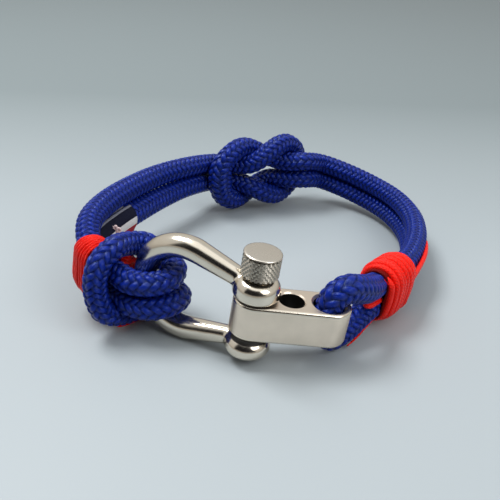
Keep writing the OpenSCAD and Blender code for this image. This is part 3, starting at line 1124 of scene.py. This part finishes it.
@dataclass(kw_only=True)
class Whipping(Piece):
    """Twine wound round the two strands of a run."""

    slot: Slot = Slot.TWINE
    run: list[Row]
    depth: float
    twine_d: float
    turns: float
    tilt: float = 0.0
    fan: float = 0.0
    fan_at: float = 0.68
    barrel: float = 0.3
    bulge: float = 0.0
    tight: float = 0.9
    tuck: float = 0.12
    tuck_depth: float = 0.6
    uneven: float = 0.2
    strays: float = 0.6
    steps_per_turn: int = 110
    around: int = 16
    sleeve_sides: int = 48
    sleeve_rings: int = 14
    sleeve_gap: float = 0.08
    sleeve_sunk: float = 0.7
    sleeve_ends: tuple[float, float] = (0.02, 0.98)
    sleeve_uv: tuple[float, float] = (0.25, 0.2)

    def frame_at(self, line: Route, share: np.ndarray) -> tuple[np.ndarray, np.ndarray, np.ndarray]:
        """Upright frame at some shares of the line midway between the strands.

        Args:
            line: The line.
            share: Shares of its length, which may lie a little past its ends.

        Returns:
            The middle, and the directions up and aside.
        """
        rows = line.spaced(FRAME_ROWS)
        held = np.clip(share, 0, 1)

        def pick(values: np.ndarray) -> np.ndarray:
            """Values at the shares, between those of the rows."""
            at = (held * (FRAME_ROWS - 1), np.arange(FRAME_ROWS))
            return np.stack([np.interp(*at, column) for column in values.T], axis=1)

        t, up, side = (pick(values) for values in rows.upright())
        return pick(rows.rows[:, :3]) + t * (share - held)[:, None] * line.length(), up, side

    @staticmethod
    def stadium(radius: np.ndarray, share: np.ndarray) -> tuple[np.ndarray, np.ndarray]:
        """Place on the outline round both strands at a share of its girth.

        Args:
            radius: Radius of its two half circles.
            share: Share of the way round, from the top.

        Returns:
            How far up and how far sideways from the middle.
        """
        arc = math.pi * radius
        half = arc + 2 * STRAND_Z
        way = (share % 1.0) * 2 * half
        w = np.minimum(way, 2 * half - way)
        a, b = w / radius, (half - w) / radius
        parts = [w <= arc / 2, w > half - arc / 2]
        ends = [STRAND_Z + radius * np.cos(a), -STRAND_Z - radius * np.cos(b)]
        up = np.select(parts, ends, STRAND_Z - (w - arc / 2))
        out = np.select(parts, [radius * np.sin(a), radius * np.sin(b)], radius)
        return up, np.where(way < half, out, -out)

    def slack(self, turn: np.ndarray) -> np.ndarray:
        """Small differences in how tightly the turns lie.

        Args:
            turn: Places along the twine, in turns.

        Returns:
            How much farther out the twine lies there, in millimetres.
        """
        places = np.arange(0, self.turns + 2, SLACK_STEP)
        along, apart = SLACK_RATES
        draws = [noise.noise((p * along, self.depth * apart, self.turns)) for p in places]
        return np.interp(turn, places, self.uneven * self.twine_d * np.array(draws))

    def twine(self, line: Route) -> Route:
        """Centre line of the wound twine, whose ends dip under the turns.

        Args:
            line: The line midway between the strands.

        Returns:
            The twine's route.
        """
        count = int(self.turns * self.steps_per_turn)
        turn = np.linspace(0, self.turns, count)
        margin = 0.5 * self.twine_d / line.length()
        share = margin + (1 - 2 * margin) * turn / self.turns
        share = share + self.tilt / line.length() * np.cos(2 * math.pi * turn)
        share = 0.5 + (share - 0.5) * (1 + self.fan * np.cos(2 * math.pi * (turn - self.fan_at)))
        outer = ROPE_D / 2 + self.depth - self.twine_d / 2 - self.barrel * np.abs(2 * share - 1) ** 3
        dip = np.clip(1 - np.minimum(turn, self.turns - turn) / self.tuck, 0, 1)
        slack = self.slack(turn)
        radius = outer - dip * self.tuck_depth * self.twine_d + slack
        centre, up, side = self.frame_at(line, share + self.strays * slack / line.length())
        rise, out = self.stadium(radius, turn)
        flank = np.maximum(0, 1 - (rise / (STRAND_Z + radius)) ** 2)
        out = out + self.bulge * flank * np.sign(out)
        points = centre + up * rise[:, None] + side * out[:, None]
        return Route(np.column_stack([points, np.ones(count)]), closed=False)

    def sleeve(self, line: Route) -> Part:
        """Inner layer of twine, as a closed band under the turns.

        Args:
            line: The line midway between the strands.

        Returns:
            Its points, its faces, and the UV of each face's corners.
        """
        m, n = self.sleeve_sides, self.sleeve_rings
        inner = ROPE_D / 2 + self.sleeve_gap
        outer = ROPE_D / 2 + self.depth - self.sleeve_sunk * self.twine_d
        ends = (self.sleeve_ends, self.sleeve_ends[::-1])
        shares = np.concatenate([np.linspace(*pair, n) for pair in ends])
        points = []
        for share, radius in zip(shares, [outer] * n + [inner] * n):
            centre, up, side = self.frame_at(line, np.full(m, share))
            rise, out = self.stadium(np.full(m, radius), np.arange(m) / m)
            points.append(centre + up * rise[:, None] + side * out[:, None])
        faces, places = grid(2 * n, m, True, True)
        along, around = self.sleeve_uv
        return np.vstack(points), faces.tolist(), places.reshape(-1, 2) * (along, around / m)

    def build(self) -> Object:
        """Winds the twine over its inner layer, which is coloured with painted shade.

        Returns:
            The whipping.
        """
        line = Route.through([(*p[:3], 1.0) for p in self.run], closed=False)
        twine = self.twine(line)
        pitches = round(twine.length() / (TWINE_PITCH * self.twine_d))
        tube = Sweep(twine, self.tight * self.twine_d / 2, TWINE_WEAVE, self.around, pitches)
        # the inner layer gets the red twine's copy with painted shade
        materials = [finish.material(TWINE_WEAVE, pitches) for finish in (RED_TWINE, SHADE_PAINTED_TWINE)]
        return cord_mesh(self.name, [tube.part(), self.sleeve(line)], "braid", materials)


@dataclass(kw_only=True)
class LooseTwine(Piece):
    """Twine that runs beside the ropes: its free end, or a lead between the turns."""

    slot: Slot = Slot.TWINE
    points: list[Row]
    twine_d: float = 1.3
    around: int = 16
    rings: int = 120
    beside: tuple[Point, ...] = (ORIGIN,)
    finish: BraidFinish = RED_TWINE

    def build(self) -> Object:
        """Sweeps the twine once for each of its runs side by side.

        Returns:
            The twine.
        """
        parts = []
        for dx, dy, dz in self.beside:
            rows = [(x + dx, y + dy, z + dz, *(share or [1])) for x, y, z, *share in self.points]
            line = Route.through(rows, closed=False)
            pitches = round(line.length() / (TWINE_PITCH * self.twine_d))
            line = line.spaced(self.rings)
            parts.append(Sweep(line, self.twine_d / 2, TWINE_WEAVE, self.around, pitches).part())
        return cord_mesh(self.name, parts, "braid", [self.finish.material(TWINE_WEAVE, pitches)])


@dataclass(kw_only=True)
class FoldedRibbon(Piece):
    """A woven ribbon folded round the lower strand, its sewn edge hanging."""

    slot: Slot = Slot.RIBBON
    wall: float = 0.35
    fold_r: float = 1.1 * ROPE_D / 2 + 0.28
    from_y: float = 22.0
    to_y: float = 35.9
    open_angle: float = 5.0
    lie_angle: float = 118.0
    drop: float = 4.7
    hang: float = 1.7
    tip: tuple[float, float] = (0.45, 0.18)
    skew: float = 1.7
    skew_reach: float = 2.6
    ripple: float = 0.5
    ripple_reach: float = 0.16
    ripple_waves: tuple[float, float] = (17, 9)
    ripple_fades: tuple[float, float] = (1.6, 0.15)
    arc_rows: int = 20
    along: int = 48
    across: int = 60
    flat: tuple[float, float] = field(default=(0.0, 0.0), init=False)

    def section(self) -> np.ndarray:
        """Outline of the fold: how far towards the wrist and how far up, from the strand.

        Returns:
            Evenly spaced rows from the inner tip round to the outer one.
        """
        angles = np.radians(np.linspace(self.open_angle, self.lie_angle, self.arc_rows))
        arc = np.stack([self.fold_r * np.sin(angles), self.fold_r * np.cos(angles)], axis=1)
        (wide, deep), low = self.tip, -self.drop
        edge = [(self.hang + wide, low), (self.hang, low - deep), (self.hang - wide, low)]
        return evenly(np.vstack([arc, edge, arc[::-1] * [-1, 1]]), self.across)

    def build(self) -> Object:
        """Lays the fold along the strand and gives it its wall.

        Returns:
            The ribbon.
        """
        n, m = self.along, self.across
        lower = Route.through([run_point(p, -1) for p in LEFT_RUN], closed=False)
        rows = lower.rows[(lower.rows[:, 1] > self.from_y) & (lower.rows[:, 1] < self.to_y)]
        line = Route(rows, False).spaced(n)
        t, up, side = (way[:, None, :] for way in line.upright())
        fold = self.section()
        share = np.linspace(0, 1, m)[None, :]
        along = np.linspace(0, 1, n)[:, None]
        loose = np.exp(-(((share - 0.5) / self.ripple_reach) ** 2))
        (long, wide), (fade, least) = self.ripple_waves, self.ripple_fades
        wave = np.sin(along * long + share * wide) * np.maximum(least, 1 - fade * along)
        ripple = self.ripple * loose * wave
        slant = self.skew * along * np.maximum(0, 1 - self.skew_reach * share)
        points = line.rows[:, None, :3] + side * fold[None, :, 0:1] + up * fold[None, :, 1:2]
        points = points + side * ripple[..., None] + t * slant[..., None]
        faces, places = grid(n, m, False, False)
        part = (points.reshape(-1, 3), faces.tolist(), places.reshape(-1, 2) / (n - 1, m - 1))
        obj = cord_mesh(self.name, [part], "ribbon", [TRICOLOUR.material()])
        apply_modifier(obj, "SOLIDIFY", thickness=self.wall * MM, offset=0.0)
        self.flat = (line.length() * MM, float(np.linalg.norm(np.diff(fold, axis=0), axis=1).sum()) * MM)
        return obj

    def declare(self, obj: Object) -> None:
        """Does nothing for the ribbon."""


@dataclass
class BowShackle(Piece):
    """Forged bow with two round eyes, smooth where its arms run into them."""

    wire_r: float = WIRE_R + 0.34
    neck_r: float = 1.68
    crown_out: float = CROWN_OUT + 0.5
    crown_r: float = CROWN_R - 0.24
    bore_r: float = 2.05
    bore_h: float = 40.0
    steps: tuple[float, float] = (0.4, 1.05)
    step_in: float = 1.2
    step_reach: float = 0.1
    fuller: float = 0.25
    inner_round: float = 0.4
    outer_round: tuple[float, float] = (1.9, 2.3)
    round_steps: tuple[int, int] = (6, 14)
    dome: Profile = (
        (1.05, 0), (0.7, 0.25), (0.38, 0.65), (0.14, 1.1), (0, 1.7), (0.08, 2.3), (0.4, 2.95),
        (0.95, 3.5), (1.65, 3.9), (2.2, 4.05),
    )
    arm_drop: float = 0.25
    arm_overlap: float = 0.3
    arm_sunk: float = 0.02
    neck_end: float = 2.6
    wire_sides: int = 40
    arc_steps: int = 72
    voxel: float = 0.17
    smoothings: int = 42

    def build(self) -> Object:
        """Joins crown, arms and eyes, blends them, and cuts the bores.

        Returns:
            The bow.
        """
        turn = math.acos(self.crown_r / math.hypot(self.crown_out, EYE_Z))
        arm_angle = math.atan2(EYE_Z, -self.crown_out) - turn
        bow = self.crown(arm_angle)
        for side in (1, -1):
            cut(bow, self.arm(arm_angle, side), "UNION")
            cut(bow, self.eye(side), "UNION")
        apply_modifier(bow, "REMESH", mode="VOXEL", voxel_size=self.voxel, use_smooth_shade=True)
        apply_modifier(bow, "SMOOTH", factor=0.5, iterations=self.smoothings)
        cut(bow, drum(self.bore_r, self.bore_h))
        bow.data.materials.clear()
        for finish in (POLISHED, SHADE_PAINTED_STEEL):
            bow.data.materials.append(finish.material())
        # faces on the eyes' inner steps are painted in shade
        for face in bow.data.polygons:
            face.material_index = int(self.shaded(face.center))
        bow.data.transform(Matrix.Rotation(math.radians(180 - BOW_TURN), 4, "Z"))
        return settle(bow, self.name, smooth=35)

    def shaded(self, place: Vector) -> bool:
        """Whether a place is on an eye's inner step, which is painted in shade.

        Args:
            place: The place, before the bow is turned.

        Returns:
            True on the step.
        """
        step = self.steps[0 if place.z > 0 else 1]
        on_eye = math.hypot(place.x, place.y) < EYE_D / 2 + self.fuller and place.x < self.neck_end
        return on_eye and abs(place.z) < EYE_Z - EYE_T / 2 + step + self.step_reach

    def arc_end(self, arm_angle: float, side: int) -> Vector:
        """Place where the crown's arc meets an arm, 1 for the upper and -1 for the lower."""
        reach = (self.crown_r * math.cos(arm_angle), side * self.crown_r * math.sin(arm_angle))
        return Vector((self.crown_out + reach[0], 0, reach[1]))

    def crown(self, arm_angle: float) -> Object:
        """Round arc of wire, spun about the crown's centre.

        Args:
            arm_angle: Half of the arc, in radians.

        Returns:
            The arc, closed at both ends.
        """
        start = self.arc_end(arm_angle, -1)
        sizes = {"vertices": self.wire_sides, "radius": self.wire_r, "fill_type": "NGON"}
        ring = primitive(bpy.ops.mesh.primitive_circle_add, start, **sizes)
        ring.data.transform(Matrix.Rotation(arm_angle, 4, "Y"))
        bpy.ops.object.transform_apply(location=True, rotation=True, scale=True)
        spin(ring, self.arc_steps, 2 * arm_angle, (self.crown_out, 0, 0), (0, 1, 0))
        return ring

    def arm(self, arm_angle: float, side: int) -> Object:
        """Straight arm between an eye and the crown.

        Args:
            arm_angle: Half of the crown's arc, in radians.
            side: 1 for the upper arm and -1 for the lower.

        Returns:
            The arm, thin at the eye.
        """
        start = Vector((0, 0, side * (EYE_Z - self.arm_drop)))
        way = self.arc_end(arm_angle, side) - start
        arm = taper(self.neck_r, self.wire_r - self.arm_sunk, way.length + self.arm_overlap)
        turn = Vector((0, 0, 1)).rotation_difference(way.normalized()).to_matrix().to_4x4()
        arm.matrix_world = Matrix.Translation(start + way * 0.5) @ turn
        return arm

    def eye(self, side: int) -> Object:
        """Round eye: the upper one flat with a soft rim, the lower one domed.

        Args:
            side: 1 for the upper eye and -1 for the lower.

        Returns:
            The eye.
        """
        r, half = EYE_D / 2 + self.fuller, EYE_T / 2
        low = self.steps[0 if side == 1 else 1] - half
        if side == 1:
            soft, (wide, deep) = self.inner_round, self.outer_round
            below, above = (np.linspace(0, math.pi / 2, count) for count in self.round_steps)
            rim = [(soft * (1 - math.sin(a)), low + soft * (1 - math.cos(a))) for a in below]
            rim += [(wide * (1 - math.cos(a)), half - deep * (1 - math.sin(a))) for a in above]
            rim.append((r, half))
        else:
            rim = [(x, low + z) for x, z in (*self.dome, (r, self.dome[-1][1]))]
        profile = [(r, -half), (self.step_in, -half), (self.step_in, low), *rim]
        return spun([(r - x, side * (EYE_Z + z)) for x, z in profile])


@dataclass
class ScrewPin(Piece):
    """Pin with a threaded end and a round knurled head."""

    pin_r: float = 2.0
    pin_low: float = -(EYE_Z + EYE_T / 2 - 0.15)
    end_chamfer: tuple[float, float] = (0.45, 0.25)
    thread_pitch: float = 0.7
    thread_turns: int = 6
    thread_crest: float = 1.98
    thread_root: float = 1.68
    thread_runout: float = 0.2
    head_r: float = 3.5
    head_low: float = 7.95
    head_h: float = 5.15
    foot_h: float = 0.7
    top_h: float = 0.4
    knurls: int = 24
    knurl_rows: int = 8
    knurl_depth: float = 0.28
    groove: float = 0.25
    neck_r: float = 3.13
    # rows of radius and height: the collar's from the head's underside, the foot's from the knurl's
    # lower end, the top's from the groove's upper end
    collar: Profile = ((2.0, -0.3), (2.3, -0.2), (2.4, -0.1), (2.4, 0.05), (0, 0.05))
    foot: Profile = ((0, -0.7), (2.6, -0.7), (2.75, -0.3), (3.22, 0.04), (0, 0.04))
    top: Profile = (
        (0, -0.02), (3.28, -0.02), (3.44, 0.04), (3.5, 0.1), (3.47, 0.2), (3.38, 0.31), (3.22, 0.38),
        (2.9, 0.41), (0, 0.44),
    )

    def build(self) -> Object:
        """Turns the shank and head, then knurls the head's side.

        Returns:
            The pin.
        """
        return settle(joined(self.shank(), [self.head()]), self.name, smooth=28)

    def shank(self) -> Object:
        """Plain shank and collar, with the thread's grooves at its lower end.

        Returns:
            The shank.
        """
        profile = [(0, self.pin_low), (self.pin_r - self.end_chamfer[0], self.pin_low)]
        z = self.pin_low + self.end_chamfer[1]
        for _ in range(self.thread_turns):
            profile += [(self.thread_crest, z), (self.thread_root, z + self.thread_pitch / 2)]
            z += self.thread_pitch
        profile += [(self.thread_crest, z), (self.pin_r, z + self.thread_runout)]
        profile += [(r, self.head_low + up) for r, up in self.collar]
        return spun(profile, POLISHED)

    def head(self) -> Object:
        """Round head with a diamond knurl and a smooth top.

        Returns:
            The head.
        """
        low, high = self.head_low + self.foot_h, self.head_low + self.head_h - self.top_h
        side = self.knurled(low, high - self.groove)
        top = spun([(r, high + up) for r, up in self.top], SATIN)
        # the foot under the knurl and the neck under the top are painted in shade
        foot = spun([(r, low + up) for r, up in self.foot], SHADE_PAINTED_STEEL)
        neck = drum(self.neck_r, 2 * self.groove, (0, 0, high - self.groove))
        neck.data.materials.append(SHADE_PAINTED_STEEL.material())
        return joined(side, [top, foot, neck])

    def knurled(self, low: float, high: float) -> Object:
        """Drum whose side is pressed in at every second point of a lattice.

        Args:
            low: Its lower end.
            high: Its upper end.

        Returns:
            The drum.
        """
        height = high - low
        side = drum(self.head_r, height, (0, 0, low + height / 2), sides=2 * self.knurls)
        bpy.ops.object.transform_apply(location=True, rotation=True, scale=True)
        at = [vertex.co.z for vertex in side.data.vertices]
        choose(side, lambda edge: at[edge.vertices[0]] != at[edge.vertices[1]], edges=True)
        with editing(side):
            bpy.ops.mesh.select_mode(type="EDGE")
            bpy.ops.mesh.subdivide(number_cuts=self.knurl_rows - 1)
            bpy.ops.mesh.select_mode(type="VERT")

        def pressed(vertex: MeshVertex) -> bool:
            """Whether a vertex is one of the lattice's sunk points."""
            row = round((vertex.co.z - low) / (height / self.knurl_rows))
            return (row + round(math.atan2(vertex.co.y, vertex.co.x) / (math.pi / self.knurls))) % 2 == 1

        choose(side, pressed)
        sunk = 1 - self.knurl_depth / self.head_r
        with editing(side):
            bpy.ops.transform.resize(value=(sunk, sunk, 1), center_override=(0, 0, 0))
        side.data.materials.append(KNURLED.material())
        return side


@dataclass
class AdjusterBar(Piece):
    """Solid bar with round ends and three holes across it."""

    length: float = 22.0
    width: float = 8.0
    height: float = BAR_H
    round_sides: int = 128
    edge: float = 0.62
    edge_segments: int = 6
    edge_angle: float = 60.0
    bore_reach: float = 0.02
    rim_reach: float = 0.1
    bore_steep: float = 0.3
    edge_steep: tuple[float, float] = (0.1, 0.97)
    holes: tuple[Point, ...] = ((0.0, 2.3, 0.25), (6.8, 2.4, 0.25), (13.7, 2.9, 0.45))

    def build(self) -> Object:
        """Draws out a drum, bevels its edges and cuts the holes.

        Returns:
            The bar.
        """
        bar = drum(self.width / 2, self.height, sides=self.round_sides)
        choose(bar, lambda vertex: vertex.co.x > WELD)
        with editing(bar):
            bpy.ops.transform.translate(value=(self.length - self.width, 0, 0))
        settings = {"segments": self.edge_segments, "angle_limit": math.radians(self.edge_angle)}
        apply_modifier(bar, "BEVEL", width=self.edge, limit_method="ANGLE", **settings)
        for x, radius, chamfer in self.holes:
            cut(bar, drum(radius, 2 * self.height, (x, 0, 0)))
            for side in (1, -1):
                low, high = (radius, radius + 2 * chamfer)[::side]
                cut(bar, taper(low, high, 2 * chamfer, (x, 0, side * self.height / 2)))
        for finish in (BRUSHED, SHADE_PAINTED_STEEL, POLISHED):
            bar.data.materials.append(finish.material())
        for face in bar.data.polygons:
            middle, steep = face.center, abs(face.normal.z)
            away = [(math.hypot(middle.x - x, middle.y) - r, c) for x, r, c in self.holes]
            in_bore = any(gap < self.bore_reach for gap, _ in away)
            at_rim = any(gap < 2 * c + self.rim_reach for gap, c in away)
            # the bore walls are painted in shade
            if in_bore and steep < self.bore_steep:
                face.material_index = 1
            elif not at_rim and self.edge_steep[0] < steep < self.edge_steep[1]:
                face.material_index = 2
        return settle(bar, self.name, smooth=25)


@dataclass
class Studio:
    """Pale floor, soft light, and the camera at the photograph's place."""

    camera_place: Point = (-13.043, -131.108, 78.974)
    camera_right: Point = (0.99727, -0.05175, 0.05272)
    camera_up: Point = (-0.01978, 0.50045, 0.86554)
    lens: float = 46.8
    floor_size: float = 4.0
    floor_z: float = -0.00002
    floor_near: tuple[Colour, Colour] = ((0.35, 0.395, 0.42, 1), (0.37, 0.415, 0.44, 1))
    floor_far: Colour = (0.2, 0.24, 0.252, 1)
    far_y: float = 0.13
    haze: tuple[Colour, Colour] = ((0.5, 0.47, 0.42, 1), (0.9, 0.88, 0.84, 1))
    sky: Colour = (0.95, 0.98, 1.0, 1)
    card: Colour = (0.015, 0.015, 0.018, 1)
    overhead: Colour = (1.7, 1.72, 1.72, 1)
    strength: float = 0.7
    lamp_aim: Point = (0.0, 0.0, 0.01)

    def camera(self) -> None:
        """Places the camera."""
        data = bpy.data.cameras.new("camera")
        data.lens = self.lens
        data.sensor_width = 36.0
        data.clip_start = 0.005
        data.clip_end = 20.0
        obj = linked("camera", data)
        right, up = Vector(self.camera_right), Vector(self.camera_up)
        turn = Matrix((right, up, right.cross(up))).transposed().to_4x4()
        obj.matrix_world = Matrix.Translation(Vector(self.camera_place) * MM) @ turn
        bpy.context.scene.camera = obj

    def floor(self) -> None:
        """Adds the pale floor."""
        plane = primitive(bpy.ops.mesh.primitive_plane_add, (0, 0, self.floor_z), size=self.floor_size)
        plane.name = "floor"
        made, g, shader = new_material("pale_floor")
        place = g.place()
        near = g.mix(g.span(g.noise(place, 6.0), 0.3, 0.7), *self.floor_near)
        far = g.span(g.split(place)[1], 0.0, self.far_y)
        g.fill(shader, {"Base Color": g.mix(far, near, self.floor_far), "Roughness": 0.55})
        plane.data.materials.append(made)

    def lamp(self, name: str, place: Point, size: tuple[float, float], power: float) -> None:
        """Adds a soft box that faces the bracelet.

        Args:
            name: The lamp's name.
            place: Its middle, in metres.
            size: Its width and height, in metres.
            power: Its power in watts.
        """
        data = bpy.data.lights.new(name, "AREA")
        data.shape = "RECTANGLE"
        data.size, data.size_y = size
        data.energy = power
        obj = linked(name, data)
        obj.location = place
        obj.rotation_euler = (Vector(self.lamp_aim) - Vector(place)).to_track_quat("-Z", "Y").to_euler()

    def world(self) -> None:
        """Soft surround: dim at the horizon, bright above, a dark card in front."""
        world = bpy.data.worlds.new("studio")
        bpy.context.scene.world = world
        world.use_nodes = True
        g = NodeGraph(world.node_tree)
        x, y, z = g.split(g.place("Generated"))
        low = g.mix(g.span(z, 0.0, 0.3), *self.haze)
        sky = g.mix(g.span(z, 0.4, 0.95), low, self.sky)
        bearing = g.math("ARCTAN2", x, g.times(y, -1.0))
        front = g.span(g.math("ABSOLUTE", g.plus(bearing, 0.2)), 0.85, 0.98, 1.0, 0.0)
        dark = g.times(g.span(z, 0.14, 0.2), g.span(z, 0.8, 0.86, 1.0, 0.0))
        shaded = g.mix(g.times(dark, front), sky, self.card)
        lit = g.mix(g.span(z, 0.86, 0.92), shaded, self.overhead)
        g.fill(world.node_tree.nodes["Background"], {"Color": lit, "Strength": self.strength})

    def make(self) -> None:
        """Sets up the studio."""
        bpy.context.scene.view_settings.view_transform = "Standard"
        self.camera()
        self.floor()
        self.world()
        self.lamp("key", (-0.22, 0.1, 0.5), (0.24, 0.2), 2.6)
        self.lamp("fill", (0.32, -0.3, 0.4), (0.3, 0.3), 1.2)


def ropes() -> list[Piece]:
    """The two doubled ropes.

    Returns:
        Both pieces.
    """
    left = rope_route(HITCH_OVER, HITCH_UNDER, hitch_point, LEFT_RUN, 1)
    right = rope_route(LOOP_OVER, LOOP_UNDER, loop_point, RIGHT_RUN, -1)
    return [
        BraidedRope("rope_shackle_side", "cord_shackle_side", route=left),
        BraidedRope("rope_bar_side", "cord_bar_side", route=right),
    ]


def whippings() -> list[Piece]:
    """The wound twines.

    Returns:
        The two whippings, and the turns that lead to the left one.
    """
    hitch, left = (between(HITCH_OVER[k], HITCH_UNDER[k], hitch_point) for k in (-2, -1))
    right = between(LOOP_OVER[-1], LOOP_UNDER[-1], loop_point)
    return [
        Whipping(
            "twine_whipping_left", "whipping_left", run=[left, *LEFT_RUN[:4]],
            depth=1.2, twine_d=0.76, turns=7.2, tilt=0.3, fan=0.17,
        ),
        Whipping(
            "twine_whipping_right", "whipping_right", run=[right, *RIGHT_RUN[:5]],
            depth=1.65, twine_d=1.62, turns=7.3, barrel=1.1, bulge=0.75,
        ),
        Whipping(
            "twine_lead_turns", "whipping_left", run=[hitch, left, *LEFT_RUN[:2]],
            depth=0.62, twine_d=0.6, turns=4.5, barrel=0.0,
        ),
    ]


def loose_twines() -> list[Piece]:
    """The twines' free end and their runs beside the whippings.

    Returns:
        The five runs.
    """
    two = ((0.0, 0.0, 0.35), (0.3, -0.2, -0.3))
    three = ((0.0, 0.0, 0.9), (0.0, 0.2, 0.0), (0.2, 0.3, -0.9))
    return [
        LooseTwine("twine_free_end", "twine_tail", points=TAIL),
        LooseTwine("twine_frapping", "whipping_right", points=FRAPPING, twine_d=1.0, beside=two),
        LooseTwine("twine_frapping_left", "whipping_left", points=FRAPPING_LEFT, twine_d=1.0, beside=three),
        LooseTwine("twine_lead_right", "whipping_right", points=LEAD_RIGHT, twine_d=0.45),
        LooseTwine("twine_lead_left", "whipping_left", points=lead_left(), twine_d=1.1),
    ]


def ribbon() -> list[Piece]:
    """The ribbon and the threads at its sewn end.

    Returns:
        Both pieces.
    """
    four = (ORIGIN, (0.6, -0.2, -0.5), (-0.5, -0.1, 0.2), (0.3, -0.2, 0.5))
    threads = LooseTwine(
        "ribbon_frayed_threads", "flag_label", slot=Slot.RIBBON, points=FRAY,
        twine_d=0.6, around=10, beside=four, finish=PALE_THREAD,
    )
    return [FoldedRibbon("folded_ribbon", "flag_label"), threads]


def steel() -> list[Piece]:
    """The clasp's three metal pieces.

    Returns:
        Bow, pin and bar.
    """
    return [
        BowShackle("forged_bow", "bow_shackle"),
        ScrewPin("knurled_screw_pin", "screw_pin", body=Body.PIN),
        AdjusterBar("drilled_bar", "adjuster_bar"),
    ]


def main() -> None:
    """Builds the studio and the bracelet."""
    logging.basicConfig(level=logging.INFO, format="%(name)s %(message)s")
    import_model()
    Studio().make()
    for piece in [*ropes(), *whippings(), *loose_twines(), *ribbon(), *steel()]:
        piece.make()
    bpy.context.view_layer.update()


if __name__ == "__main__":
    main()
